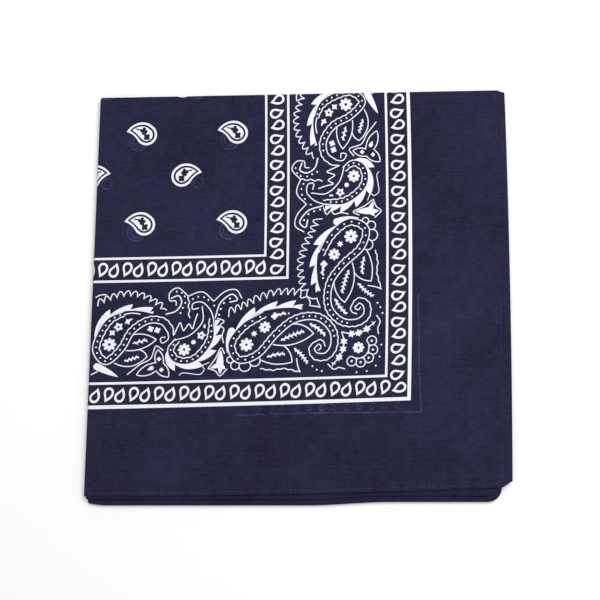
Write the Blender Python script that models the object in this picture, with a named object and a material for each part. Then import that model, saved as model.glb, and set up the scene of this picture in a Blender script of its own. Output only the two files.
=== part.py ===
"""A square cotton bandana, folded twice into quarters and lying flat.

The first fold is the upper edge: it joins the first quarter to the second, and the third to the fourth.
The second fold is the left edge: it joins the first quarter to the fourth, around the other two.
The right and lower edges are the stitched hems of all four quarters.

+X runs from the second fold to the hems, +Y towards the first fold and +Z up from the surface that the
cloth lies on. The origin is on that surface, below the middle of the folded cloth.
Sizes are in millimetres and become metres when a mesh is made.
"""

import math

import bpy
import numpy as np

MM = 0.001

# The cloth wall, and the heights of the four layers above the surface
WALL = 1.0
GAP = 0.3
CREASE = 0.2  # the slit between the fourth and the third quarter
FOURTH_LOW, FOURTH_HIGH = 0.0, WALL
THIRD_LOW, THIRD_HIGH = FOURTH_HIGH + CREASE, FOURTH_HIGH + CREASE + WALL
SECOND_LOW, SECOND_HIGH = THIRD_HIGH + GAP, THIRD_HIGH + GAP + WALL
FIRST_LOW, FIRST_HIGH = SECOND_HIGH + GAP, SECOND_HIGH + GAP + WALL

# Outer radius of each fold of the first quarter: a quarter turn on the second fold, a half turn on the first
FOLD_DROP = FIRST_HIGH - SECOND_LOW
SECOND_FOLD_RADIUS = FOLD_DROP
FIRST_FOLD_RADIUS = FOLD_DROP / 2
CORNER_TURN = 2.0  # distance from the upper left corner within which one fold turns into the other

# Plan of the first quarter, inside a box of these half sizes
HALF_WIDTH, HALF_DEPTH = 144.25, 141.95
UPPER_LEFT = np.array([-136.7, 136.5])
UPPER_RIGHT = np.array([142.3, HALF_DEPTH])
LOWER_RIGHT = np.array([HALF_WIDTH - 0.1, -129.4])
LOWER_LEFT = np.array([-HALF_WIDTH, -135.7])
RIGHT_BOW = 0.9  # how far the right hem curves out at its middle
TUCK, TUCK_WIDTH = 1.6, 6.0  # the first fold dips where the right hem crosses it

# Hems of the first quarter
HEM_RIGHT, HEM_BOTTOM = 6.5, 3.6
HEM_PUFF = 0.5  # how far the turned cloth inside lifts the middle of a hem
HEM_SLANT = 5.0  # the right hem's lower end is cut off slantwise, this much shorter on its outer side
HEM_FADE = 12.0  # length over which a hem flattens towards a fold
DROOP, DROOP_WIDTH = 0.9, 6.0  # the right hem reaches past the layers below, and sinks there

# Soft waves of the first quarter: how many across and down the panel, their phase, and their share
RELIEF = 0.7
RELIEF_FADE = 26.0
RELIEF_WAVES = (
    (1.4, 0.6, 0.4, 0.40),
    (0.7, 1.9, 2.1, 0.35),
    (2.6, 1.3, 4.0, 0.25),
)

# The layers below. Each row: underside, upper side, X of the right hem at the first fold and at the lower
# corner, Y of the lower hem at the second fold and at the lower corner.
UNDER_LAYERS = (
    (FOURTH_LOW, FOURTH_HIGH, 140.3, 136.1, -141.1, -138.7),
    (THIRD_LOW, THIRD_HIGH, 141.0, 136.8, -HALF_DEPTH, -139.5),
    (SECOND_LOW, SECOND_HIGH, 140.5, 136.4, -139.0, -135.2),
)
THIRD = 1  # the third quarter's place in that table
LOWER_SIDE = 1  # the lower hem's place among the four sides, anticlockwise from the second fold
# The lower hems rise by this much between these shares of their length, and run straight before and after.
UNDER_RISE, RISE_FROM, RISE_TO = 2.2, 0.55, 0.75
EDGE_ROUND = 0.35  # how far the faces of a layer stand in from the middle of its edge
CREASE_DEPTH = 2.4
# Corner radii: upper left, lower left, lower right, upper right
UNDER_RADII = (1.6, 3.2, 8.0, 3.0)

# Mesh density
CELL = 10.0
FIRST_CELLS = (0.0, 0.8, 1.6, 3.2, 6.4)  # distances from a fold of the grid lines nearest to it
HEM_CELLS = 5
FOLD_STEPS = 6
SIDE_CELLS = 16
CORNER_CELLS = 5
NOSE_POINTS, INNER_NOSE_POINTS = 8, 3

QUARTER_TURN = math.pi / 2

NAVY = (0.022, 0.020, 0.068, 1.0)


def direction(start, end):
    """Unit vector from one plan point to another."""
    return (end - start) / np.linalg.norm(end - start)


def smooth_step(value):
    """0 below 0, 1 above 1, and a soft S between."""
    t = np.clip(value, 0.0, 1.0)
    return t * t * (3.0 - 2.0 * t)


RIGHTWARD = direction(UPPER_LEFT, UPPER_RIGHT)
DOWNWARD = direction(UPPER_LEFT, LOWER_LEFT)
# The flat part of the first quarter starts where its two folds end.
FLAT_UPPER_LEFT = UPPER_LEFT + RIGHTWARD * SECOND_FOLD_RADIUS + DOWNWARD * FIRST_FOLD_RADIUS
FLAT_UPPER_RIGHT = UPPER_RIGHT - np.array([0.0, FIRST_FOLD_RADIUS])
FLAT_LOWER_LEFT = LOWER_LEFT + direction(LOWER_LEFT, LOWER_RIGHT) * SECOND_FOLD_RADIUS
FLAT_WIDTH = np.linalg.norm(FLAT_UPPER_RIGHT - FLAT_UPPER_LEFT)
FLAT_DEPTH = np.linalg.norm(FLAT_LOWER_LEFT - FLAT_UPPER_LEFT)


def flat_point(s, t):
    """Plan point of the first quarter's flat part: s runs from the second fold to the right hem's edge
    and t from the first fold to the lower hem's edge, both from 0 to 1, with straight sides apart from
    the bow of the right hem and the tuck of the first fold."""
    s, t = s[..., None], t[..., None]
    upper = FLAT_UPPER_LEFT + (FLAT_UPPER_RIGHT - FLAT_UPPER_LEFT) * s
    lower = FLAT_LOWER_LEFT + (LOWER_RIGHT - FLAT_LOWER_LEFT) * s
    bow = RIGHT_BOW * 4.0 * t * (1.0 - t) * s
    tuck = TUCK * smooth_step(1.0 - FLAT_WIDTH * (1.0 - s) / TUCK_WIDTH) * (1.0 - t)
    return upper + (lower - upper) * t + np.concatenate([bow, -tuck], axis=-1)


def under_right_edge(y):
    """X of the third quarter's right hem at this Y."""
    _, _, above, below, _, corner = UNDER_LAYERS[THIRD]
    return above + (below - above) * (UPPER_RIGHT[1] - y) / (UPPER_RIGHT[1] - corner)


def relief(plan, s, t):
    """Height of the first quarter above level: soft waves that fade out at its sides, less the droop of
    the right hem past the layers below."""
    wave = sum(
        share * np.cos(2.0 * math.pi * (across * s + down * t) + phase)
        for across, down, phase, share in RELIEF_WAVES
    )
    inward = np.minimum(np.minimum(s, 1.0 - s) * FLAT_WIDTH, np.minimum(t, 1.0 - t) * FLAT_DEPTH)
    past = (plan[..., 0] - under_right_edge(plan[..., 1])) / DROOP_WIDTH
    droop = DROOP * smooth_step(past) * smooth_step(t * FLAT_DEPTH / HEM_FADE)
    return RELIEF * (0.5 + 0.5 * wave) * smooth_step(inward / RELIEF_FADE) - droop


def cell_lines(length):
    """Grid lines from a fold to this length: close together at the fold, then a cell apart."""
    rest = np.linspace(CELL, length, round((length - CELL) / CELL) + 1)
    return np.concatenate([FIRST_CELLS, rest])


def quads(index):
    """Quads of a grid of vertex numbers whose rows run down the plan and columns to the right, facing up."""
    corners = [index[:-1, :-1], index[1:, :-1], index[1:, 1:], index[:-1, 1:]]
    return np.stack(corners, axis=-1).reshape(-1, 4)


def rim(faces, count):
    """Quads that join the border of a sheet to that of its copy, whose vertex numbers are count higher."""
    sides = np.concatenate([faces[:, [k, (k + 1) % 4]] for k in range(4)]).tolist()
    known = {tuple(side) for side in sides}
    border = np.array([side for side in sides if (side[1], side[0]) not in known])
    start, end = border[:, 0], border[:, 1]
    return np.stack([end, start, start + count, end + count], axis=-1)


def cotton():
    """Navy cotton: matt, with no metal in it."""
    material = bpy.data.materials.get("navy_cotton")
    if material is None:
        material = bpy.data.materials.new("navy_cotton")
        material.use_nodes = True
        shader = material.node_tree.nodes["Principled BSDF"]
        shader.inputs["Base Color"].default_value = NAVY
        shader.inputs["Roughness"].default_value = 0.85
        shader.inputs["Metallic"].default_value = 0.0
    return material


def add_object(name, points, faces):
    """Makes the named object from points in millimetres and faces, shaded smooth but for sharp edges."""
    mesh = bpy.data.meshes.new(name)
    mesh.from_pydata((points * MM).tolist(), [], faces)
    mesh.shade_smooth()
    mesh.set_sharp_from_angle(angle=math.radians(40.0))
    mesh.materials.append(cotton())
    bpy.context.scene.collection.objects.link(bpy.data.objects.new(name, mesh))


def fold_turns(border, distance, upward):
    """Points of a rolled edge, in one row for each step of its turn: first its outer side, then its inner.

    border holds the points of the sheet's upper side where the fold starts. distance is how far each one
    lies below the corner, or, as a negative number, to the right of it. upward is the outward direction
    of the first fold. The middle of the turn lies below the border, at the depth of its radius, and the
    turn ends where it has come down by FOLD_DROP.
    """
    share = smooth_step(0.5 - distance / (2.0 * CORNER_TURN))
    radius = SECOND_FOLD_RADIUS + (FIRST_FOLD_RADIUS - SECOND_FOLD_RADIUS) * share
    outward = -RIGHTWARD * (1.0 - share)[:, None] + upward * share[:, None]
    outward /= np.linalg.norm(outward, axis=1)[:, None]
    last = np.arcsin((radius - FOLD_DROP) / radius)
    both = []
    for reach in (radius, radius - WALL):
        rows = []
        for step in range(1, FOLD_STEPS + 1):
            angle = QUARTER_TURN + (last - QUARTER_TURN) * step / FOLD_STEPS
            plan = border[:, :2] + outward * (reach * np.cos(angle))[:, None]
            rows.append(np.column_stack([plan, border[:, 2] - radius + reach * np.sin(angle)]))
        both.append(np.array(rows))
    return both


def build_first_quarter_piece(name, s, t, puff, folds):
    """One piece of the first quarter: a wall over a grid of s and t, rolled over at the named folds."""
    plan = flat_point(s, t)
    height = relief(plan, s, t)
    outer = np.dstack([plan, FIRST_HIGH + height + puff]).reshape(-1, 3)
    inner = np.dstack([plan, FIRST_LOW + height]).reshape(-1, 3)
    index = np.arange(s.size).reshape(s.shape)
    faces = quads(index)
    border = []
    if "second" in folds:
        border += index[::-1, 0].tolist()
    if "first" in folds:
        border += [k for k in index[0].tolist() if k not in border]
    if border:
        distance = t.reshape(-1)[border] * FLAT_DEPTH - s.reshape(-1)[border] * FLAT_WIDTH
        outer_turn, inner_turn = fold_turns(outer[border], distance, -DOWNWARD)
        turned = len(outer) + np.arange(FOLD_STEPS * len(border)).reshape(FOLD_STEPS, -1)
        faces = np.concatenate([faces, quads(np.vstack([border, turned]).T)])
        outer = np.concatenate([outer, outer_turn.reshape(-1, 3)])
        inner = np.concatenate([inner, inner_turn.reshape(-1, 3)])
    count = len(outer)
    closed = np.concatenate([faces, faces[:, ::-1] + count, rim(faces, count)])
    add_object(name, np.concatenate([outer, inner]), closed.tolist())


def hem_puff(across, from_fold):
    """Extra height of a hem: a hump across it, from 0 to 1, that fades towards its fold."""
    return HEM_PUFF * np.sin(math.pi * np.clip(across, 0.0, 1.0)) ** 0.7 * smooth_step(from_fold / HEM_FADE)


def build_first_quarter():
    """The face-up quarter and its two hems, which share one surface and stand a gap apart."""
    across = cell_lines(FLAT_WIDTH - HEM_RIGHT - GAP / 2)
    down = cell_lines(FLAT_DEPTH - HEM_BOTTOM - GAP / 2)
    hem_share = np.linspace(0.0, 1.0, HEM_CELLS + 1)

    s, t = np.meshgrid(across / FLAT_WIDTH, down / FLAT_DEPTH)
    build_first_quarter_piece("top_quarter", s, t, np.zeros_like(s), ("first", "second"))

    hem_across = FLAT_WIDTH - (HEM_RIGHT - GAP / 2) * (1.0 - hem_share)
    end = FLAT_DEPTH - HEM_SLANT * hem_share
    s, row = np.meshgrid(hem_across / FLAT_WIDTH, np.append(down, FLAT_DEPTH) / FLAT_DEPTH)
    t = row * end / FLAT_DEPTH
    puff = hem_puff(np.broadcast_to(hem_share, s.shape), t * FLAT_DEPTH)
    build_first_quarter_piece("hem_right", s, t, puff, ("first",))

    hem_down = FLAT_DEPTH - (HEM_BOTTOM - GAP / 2) * (1.0 - hem_share)
    s, t = np.meshgrid(across / FLAT_WIDTH, hem_down / FLAT_DEPTH)
    puff = hem_puff(np.broadcast_to(hem_share[:, None], s.shape), s * FLAT_WIDTH)
    build_first_quarter_piece("hem_bottom", s, t, puff, ("second",))


def round_end(low, high, stand_in):
    """Three points of a layer's rounded edge: how far each stands in, and its height."""
    middle = (low + high) / 2.0
    return [(stand_in + EDGE_ROUND, low), (stand_in, middle), (stand_in + EDGE_ROUND, high)]


def open_profile():
    """The edge of the three layers at their hems, from the underside up: (stand-in, height, layer)."""
    points = []
    for layer, (low, high, *_) in enumerate(UNDER_LAYERS):
        if layer:
            below = UNDER_LAYERS[layer - 1][1]
            points += [(CREASE_DEPTH, below, layer - 1), (CREASE_DEPTH, low, layer - 1)]
        points += [(inward, height, layer) for inward, height in round_end(low, high, 0.0)]
    return points


def fold_nose(inside, low, radius, start, end, count):
    """Points round the outside of a fold from one angle to another, level at 0 and upwards at a quarter
    turn. inside is the stand-in of its furthest point, and low the height of a whole turn's lowest."""
    return [
        (inside + radius * (1.0 - math.cos(angle)), low + radius * (1.0 + math.sin(angle)), THIRD)
        for angle in np.linspace(start, end, count)
    ]


def first_fold_profile():
    """The edge at the first fold: one round nose of the third and fourth quarters, and the second
    quarter's edge, which stands clear of the first quarter's turn."""
    nose = fold_nose(0.0, FOURTH_LOW, THIRD_HIGH / 2.0, -QUARTER_TURN, QUARTER_TURN, NOSE_POINTS)
    slit = [(CREASE_DEPTH, THIRD_HIGH, THIRD), (CREASE_DEPTH, SECOND_LOW, THIRD)]
    ends = round_end(SECOND_LOW, SECOND_HIGH, FIRST_FOLD_RADIUS + GAP)
    return nose + slit + [(inward, height, THIRD) for inward, height in ends]


def second_fold_profile():
    """The edge at the second fold: the lower half of the fold's round, and above it the inner fold of the
    second and third quarters, which stands clear of the first quarter's turn."""
    nose = fold_nose(0.0, FOURTH_LOW, THIRD_HIGH, -QUARTER_TURN, 0.0, NOSE_POINTS)
    inside = WALL + GAP
    slit = [(inside, THIRD_HIGH, THIRD), (inside, THIRD_HIGH + GAP / 2, THIRD)]
    inner = fold_nose(inside, SECOND_LOW - WALL, WALL, 0.0, QUARTER_TURN, INNER_NOSE_POINTS)
    return nose + slit + inner


def crossing(a, along_a, b, along_b):
    """Point where two straight lines meet, each given by a point and a direction."""
    shares = np.linalg.solve(np.column_stack([along_a, -along_b]), b - a)
    return a + along_a * shares[0]


def left_of(along):
    """The direction a quarter turn to the left of this one, which points into an anticlockwise outline."""
    return np.array([-along[1], along[0]])


def corner_arc(corner, before, after, radius):
    """Plan points of a rounded corner, from the end of the side before it to the start of the one after."""
    turn = math.acos(np.clip(before @ after, -1.0, 1.0))
    middle = corner - before * radius * math.tan(turn / 2) + left_of(before) * radius
    start = -left_of(before)
    angles = math.atan2(start[1], start[0]) + turn * np.linspace(0.0, 1.0, CORNER_CELLS + 1)
    return middle + radius * np.column_stack([np.cos(angles), np.sin(angles)])


def layer_sides(layer):
    """The four straight sides of a layer's plan, each as (start, end), anticlockwise from the upper left."""
    _, _, right_above, right_below, low_left, low_right = UNDER_LAYERS[layer]
    upper_right = UPPER_LEFT + RIGHTWARD * (right_above - UPPER_LEFT[0]) / RIGHTWARD[0]
    lower_left = UPPER_LEFT + DOWNWARD * (low_left - UPPER_LEFT[1]) / DOWNWARD[1]
    lower_right = np.array([right_below, low_right])
    return [
        (UPPER_LEFT, lower_left),
        (lower_left, lower_right),
        (lower_right, upper_right),
        (upper_right, UPPER_LEFT),
    ]


def level_loop(levels):
    """One closed loop of the solid's surface. levels holds (stand-in, height, layer) for the second fold,
    the lower hem, the right hem and the first fold. Its sides are moved in, its corners are rounded, and
    round a corner its height goes evenly from one side's to the next's."""
    heights = [height for _, height, _ in levels]
    lines = []
    for side, (inward, _, layer) in enumerate(levels):
        start, end = layer_sides(layer)[side]
        along = direction(start, end)
        lines.append((start + left_of(along) * inward, along))
    arcs = []
    for side, radius in enumerate(UNDER_RADII):
        corner = crossing(*lines[side - 1], *lines[side])
        arcs.append(corner_arc(corner, lines[side - 1][1], lines[side][1], radius))
    share = np.linspace(0.0, 1.0, SIDE_CELLS + 1)[1:-1]
    risen = smooth_step((share - RISE_FROM) / (RISE_TO - RISE_FROM)) - share
    loop = []
    for side, arc in enumerate(arcs):
        loop.append(np.column_stack([arc, np.linspace(heights[side - 1], heights[side], len(arc))]))
        next_start = arcs[(side + 1) % 4][0]
        straight = arc[-1] + (next_start - arc[-1]) * share[:, None]
        if side == LOWER_SIDE:
            straight[:, 1] += UNDER_RISE * risen
        loop.append(np.column_stack([straight, np.full(len(straight), heights[side])]))
    return np.concatenate(loop)


def build_folded_layers():
    """The second, third and fourth quarters as one rounded solid, layered at its edges."""
    profiles = (second_fold_profile(), open_profile(), open_profile(), first_fold_profile())
    loops = [level_loop(levels) for levels in zip(*profiles)]
    count = len(loops[0])
    faces = []
    for level in range(len(loops) - 1):
        for k in range(count):
            a, b = level * count + k, level * count + (k + 1) % count
            faces.append((a, b, b + count, a + count))
    faces.append(tuple(reversed(range(count))))
    faces.append(tuple(range((len(loops) - 1) * count, len(loops) * count)))
    add_object("folded_layers", np.concatenate(loops), faces)


def main():
    """Clears the scene and builds the four solids."""
    for old in list(bpy.data.objects):
        bpy.data.objects.remove(old)
    build_first_quarter()
    build_folded_layers()


main()
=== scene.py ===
"""A square cotton bandana, folded twice into quarters and lying flat: its cloth, print, hems and stitches.

The first fold is the upper edge and the second fold the left edge. The right and lower edges are the
stitched hems of all four quarters. Sizes are in millimetres, and become metres when a mesh is made.
The print is drawn in its own coordinates: how far a point lies to the left of the corner of the outer frame
line, and how far above it.
"""

import logging
import math
from collections.abc import Callable, Sequence
from dataclasses import dataclass, field
from enum import Enum, IntEnum
from functools import cached_property

import bmesh
import bpy
import numpy as np
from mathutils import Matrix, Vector
from mathutils.geometry import delaunay_2d_cdt


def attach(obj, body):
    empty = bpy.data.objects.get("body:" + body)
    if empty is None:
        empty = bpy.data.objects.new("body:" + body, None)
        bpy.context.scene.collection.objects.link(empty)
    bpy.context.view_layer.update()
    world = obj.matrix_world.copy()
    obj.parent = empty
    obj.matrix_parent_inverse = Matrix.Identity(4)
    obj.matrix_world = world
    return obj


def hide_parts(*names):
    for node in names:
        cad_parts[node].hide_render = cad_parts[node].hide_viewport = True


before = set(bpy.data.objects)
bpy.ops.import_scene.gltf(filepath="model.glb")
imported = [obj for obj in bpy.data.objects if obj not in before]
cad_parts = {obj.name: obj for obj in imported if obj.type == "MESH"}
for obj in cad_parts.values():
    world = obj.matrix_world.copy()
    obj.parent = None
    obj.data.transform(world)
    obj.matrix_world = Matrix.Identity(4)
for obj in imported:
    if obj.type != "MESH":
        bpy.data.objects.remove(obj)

log = logging.getLogger("bandana")

Array = np.ndarray
Pair = tuple[float, float]
Guides = Sequence[Pair]  # the guide points of a curve
Material, Piece = bpy.types.Material, bpy.types.Object

MM = 0.001
QUARTER_TURN = math.pi / 2
SHARP_EDGE = math.radians(50.0)
STITCH_LIFT = 0.1  # height of the stitches above the cloth that they lie on
CLOTH_MAP = "ClothMillimetres"


# ---------- small tools


def smooth_step(value: Array) -> Array:
    """0 below 0, 1 above 1, and a soft S between."""
    t = np.clip(value, 0.0, 1.0)
    return t * t * (3.0 - 2.0 * t)


def arch(share: Array) -> Array:
    """A parabola that is 0 where the share is 0 or 1, and 1 halfway."""
    return 4.0 * share * (1.0 - share)


def unit(vector: Array) -> Array:
    """The vector, or each row of an array of them, at length 1."""
    return vector / np.linalg.norm(vector, axis=-1, keepdims=True)


def turned_left(vector: Array) -> Array:
    """The vector, or each row of an array of them, turned a quarter turn to the left."""
    return np.stack([-vector[..., 1], vector[..., 0]], axis=-1)


def lengths_along(route: Array) -> Array:
    """Distance of each point of a route from its start."""
    return np.concatenate([[0.0], np.cumsum(np.linalg.norm(np.diff(route, axis=0), axis=1))])


def at_distances(route: Array, values: Array, distances: Array) -> Array:
    """Rows of values, one for each point of a route, read off at distances along it."""
    known = lengths_along(route)
    return np.column_stack([np.interp(distances, known, column) for column in values.T])


def curve(guides: Guides | Array, spacing: float = 0.8, tightness: float = 0.0, cuts: int = 12) -> Array:
    """A smooth route through a few guide points.

    Each stretch is the cubic that leaves and reaches its guides along the line between their neighbours,
    and the whole is then cut into even steps.

    Args:
        guides: the points that the route goes through, with a value that goes with each if there is one.
        spacing: distance between the points of the result.
        tightness: 0 for round bends, towards 1 for sharper ones.
        cuts: the number of points that each stretch is first worked out at.

    Returns:
        The points of the route, as an array of rows.
    """
    points = np.asarray(guides, dtype=float)
    padded = np.vstack([2 * points[0] - points[1], points, 2 * points[-1] - points[-2]])
    ways = (1.0 - tightness) * 0.5 * (padded[2:] - padded[:-2])
    t = np.linspace(0.0, 1.0, cuts, endpoint=False)[:, None, None]
    bend = smooth_step(t)
    dense = points[:-1] * (1.0 - bend) + points[1:] * bend
    dense = dense + ways[:-1] * t * (1.0 - t) ** 2 - ways[1:] * t * t * (1.0 - t)
    dense = np.vstack([dense.transpose(1, 0, 2).reshape(len(t) * (len(points) - 1), -1), points[-1:]])
    total = lengths_along(dense)[-1]
    return at_distances(dense, dense, np.linspace(0.0, total, max(2, round(total / spacing) + 1)))


def sideways(route: Array) -> Array:
    """Unit vectors to the left of a route, one for each of its points."""
    return turned_left(unit(np.gradient(route, axis=0)))


def quads(index: Array) -> Array:
    """Faces of a grid of vertex numbers whose rows run down the plan and columns to the right, facing up."""
    corners = [index[:-1, :-1], index[1:, :-1], index[1:, 1:], index[:-1, 1:]]
    return np.stack(corners, axis=-1).reshape(-1, 4)


def srgb(code: str) -> tuple[float, float, float, float]:
    """The linear colour of an sRGB hex value such as "2a2941"."""
    values = np.array([int(code[k : k + 2], 16) for k in (0, 2, 4)]) / 255.0
    linear = np.where(values <= 0.04045, values / 12.92, ((values + 0.055) / 1.055) ** 2.4)
    return (*linear.tolist(), 1.0)


def add_uv(mesh: bpy.types.Mesh, name: str, coordinates: Array) -> None:
    """Adds a UV map from one pair of coordinates for each vertex."""
    corners = np.empty(len(mesh.loops), dtype=np.int32)
    mesh.loops.foreach_get("vertex_index", corners)
    layer = mesh.uv_layers.new(name=name)
    layer.data.foreach_set("uv", coordinates[corners].astype(np.float32).ravel())


def to_square(coordinates: Array, margin: float = 0.005) -> Array:
    """Coordinates moved and scaled, each axis by itself, to fill the unit square but for a thin margin."""
    low, high = coordinates.min(axis=0), coordinates.max(axis=0)
    return margin + (1.0 - 2 * margin) * (coordinates - low) / (high - low)


def add_object(name: str, data: bpy.types.ID) -> Piece:
    """Adds an object to the scene, at the origin."""
    item = bpy.data.objects.new(name, data)
    bpy.context.scene.collection.objects.link(item)
    return item


def make_piece(
    name: str, points: Array, faces: list, cloth: Array, materials: list[Material],
    inks: Array | None = None, unwrapped: Array | None = None,
) -> Piece:
    """Makes a mesh object at the origin, shaded smooth.

    Args:
        name: the object's name.
        points: its vertices in millimetres.
        faces: lists of vertex numbers.
        cloth: for each vertex, its place on the flat cloth in millimetres, for the weave.
        materials: the object's material slots.
        inks: the slot number of each face, all 0 where it is left out.
        unwrapped: for each vertex, a place that no other part of the surface takes, where the cloth's isn't.

    Returns:
        The object.
    """
    mesh = bpy.data.meshes.new(name)
    mesh.from_pydata((points * MM).tolist(), [], faces)
    add_uv(mesh, CLOTH_MAP, cloth)
    add_uv(mesh, "OFBake", to_square(cloth if unwrapped is None else unwrapped))
    mesh.shade_smooth()
    for material in materials:
        mesh.materials.append(material)
    if inks is not None:
        mesh.polygons.foreach_set("material_index", inks.astype(np.int32))
    return add_object(name, mesh)


def merge_doubles(piece: Piece, distance: float = 1e-6) -> None:
    """Joins the vertices of a piece that lie on each other, and marks its sharp edges."""
    mesh = bmesh.new()
    mesh.from_mesh(piece.data)
    bmesh.ops.remove_doubles(mesh, verts=mesh.verts, dist=distance)
    mesh.to_mesh(piece.data)
    mesh.free()
    piece.data.set_sharp_from_angle(angle=SHARP_EDGE)


def dress(piece: Piece, *nodes: str) -> Piece:
    """Lets a piece ride on the one body, and stand for CAD nodes."""
    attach(piece, "root")
    if nodes:
        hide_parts(*nodes)
    log.info("%s: %d faces", piece.name, len(piece.data.polygons))
    return piece


# ---------- finishes


def add_node(
    tree: bpy.types.NodeTree, kind: str, inputs: dict[str | int, object], output: int = 0, **settings: object
) -> bpy.types.NodeSocket:
    """Adds a shader node with its settings, and fills or links its inputs.

    Args:
        tree: the material's node tree.
        kind: the node's type, without the word that all of them start with.
        inputs: for each input, by name or number, a value, or the output socket that feeds it.
        output: number of the output that is wanted.
        **settings: the node's own properties.

    Returns:
        That output socket.
    """
    node = tree.nodes.new("ShaderNode" + kind)
    for name, value in settings.items():
        setattr(node, name, value)
    for key, value in inputs.items():
        if isinstance(value, bpy.types.NodeSocket):
            tree.links.new(value, node.inputs[key])
        else:
            node.inputs[key].default_value = value
    return node.outputs[output]


@dataclass(frozen=True)
class WovenFinish:
    """Plain woven cotton, dyed or printed.

    The real threads lie about 0.4 mm apart, too fine to show, so they are drawn every 0.9 mm. The eye gets
    a matt surface with a fine even grain, short slubs where a weft thread is thicker, fainter long streaks
    both ways, and soft clouds where the dye took unevenly.
    """

    name: str
    dark: str
    light: str
    roughness: float = 0.9
    specular: float = 0.05
    sheen: float = 0.015
    thread: float = 0.9
    thread_height: float = 0.06
    wave_period: float = math.pi / 10.0  # scale at which the wave texture's bands lie 1 apart
    patches: tuple[tuple[float, float, float], ...] = (  # width, height and share of each kind of patch
        (6.0, 0.8, 0.34),  # slubs of the weft
        (0.8, 5.0, 0.16),  # slubs of the warp
        (60.0, 1.7, 0.12),  # long streaks
        (1.7, 60.0, 0.08),
        (9.0, 9.0, 0.12),  # mottling
        (70.0, 70.0, 0.26),  # clouds
    )

    def material(self) -> Material:
        """The finish as a material: noise patches mix its two colours, and raise its weave a little."""
        material = bpy.data.materials.new(self.name)
        material.use_nodes = True
        tree = material.node_tree
        cloth = add_node(tree, "UVMap", {}, uv_map=CLOTH_MAP)
        threads = {"Vector": cloth, "Scale": self.wave_period / self.thread}
        warp = add_node(tree, "TexWave", threads, 1, bands_direction="X")
        weft = add_node(tree, "TexWave", threads, 1, bands_direction="Y")
        weave = add_node(tree, "Math", {0: warp, 1: weft}, operation="ADD")
        tone = 0.0
        for across, down, share in self.patches:
            scaled = add_node(tree, "Mapping", {"Vector": cloth, "Scale": (1.0 / across, 1.0 / down, 1.0)})
            soft = {"Vector": scaled, "Scale": 1.0, "Detail": 3.0, "Roughness": 0.55}
            patch = add_node(tree, "TexNoise", soft)
            tone = add_node(tree, "Math", {0: patch, 1: share, 2: tone}, operation="MULTIPLY_ADD")
        spread = {"Value": tone, "From Min": 0.44, "From Max": 0.64, "To Min": 0.0, "To Max": 1.0}
        mix = {"Factor": add_node(tree, "MapRange", spread), 6: srgb(self.dark), 7: srgb(self.light)}
        colour = add_node(tree, "Mix", mix, 2, data_type="RGBA")
        height = add_node(tree, "Math", {0: tone, 1: 2.0, 2: weave}, operation="MULTIPLY_ADD")
        bump = {"Height": height, "Distance": self.thread_height * MM, "Strength": 0.7}
        shader = tree.nodes["Principled BSDF"].inputs
        shader["Roughness"].default_value = self.roughness
        shader["Specular IOR Level"].default_value = self.specular
        shader["Sheen Weight"].default_value = self.sheen
        tree.links.new(colour, shader["Base Color"])
        tree.links.new(add_node(tree, "Bump", bump), shader["Normal"])
        return material


NAVY_COTTON = WovenFinish("navy_dyed_cotton", dark="1d1c31", light="2f2e4b")
# A darker copy of the navy cotton for the three layers below the top quarter: the extra darkness is painted
# shade, where they lie under it.
COTTON_REVERSE_IN_PAINTED_SHADE = WovenFinish("navy_dyed_cotton_reverse_painted_shade", dark="1c1b2d", light="2b2a44")
WHITE_PRINT = WovenFinish("white_pigment_print", dark="e6e6f0", light="f4f4fa", specular=0.1, sheen=0.0)
CHAIN_GROUND = WovenFinish("overprinted_navy_cotton", dark="1e1e2a", light="303040")
SHOW_THROUGH = WovenFinish("print_showing_through", dark="211f38", light="494870")
NAVY_THREAD = WovenFinish(
    "navy_polyester_thread", dark="2e2d46", light="484764", roughness=0.6, specular=0.2
)


# ---------- folded cloth


@dataclass(frozen=True)
class Crease:
    """A soft ridge, or with a negative height a trough, that was left in the cloth by folding and packing.

    Its height falls off across it as a bell curve and towards its ends as a soft step.
    """

    middle: Pair
    heading: float  # degrees, anticlockwise from +X
    length: float
    width: float
    height: float
    end_share: float = 0.35  # share of the length over which each end fades out

    def lift(self, plan: Array) -> Array:
        """Height that the crease adds at plan points."""
        angle = math.radians(self.heading)
        way = np.array([math.cos(angle), math.sin(angle)])
        along, across = (plan - self.middle) @ way, (plan - self.middle) @ turned_left(way)
        ends = smooth_step((self.length / 2 - np.abs(along)) / (self.end_share * self.length))
        return self.height * np.exp(-((across / self.width) ** 2)) * ends


CREASES = (
    Crease((52.0, 20.0), 88.0, 150.0, 5.0, 0.25),
    Crease((108.0, 52.0), 86.0, 120.0, 6.0, -0.25),
    Crease((-35.0, 58.0), 3.0, 140.0, 6.0, 0.2),
)


def hem_height(inward: Array, width: float, puff: Array | float, groove: float, spread: float) -> Array:
    """Height that a hem adds: a soft hump between its edge and its stitches, which sit in a groove."""
    hump = puff * np.sin(math.pi * np.clip(inward / width, 0.0, 1.0)) ** 0.7
    return hump - groove * np.exp(-(((inward - width) / spread) ** 2))


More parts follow.
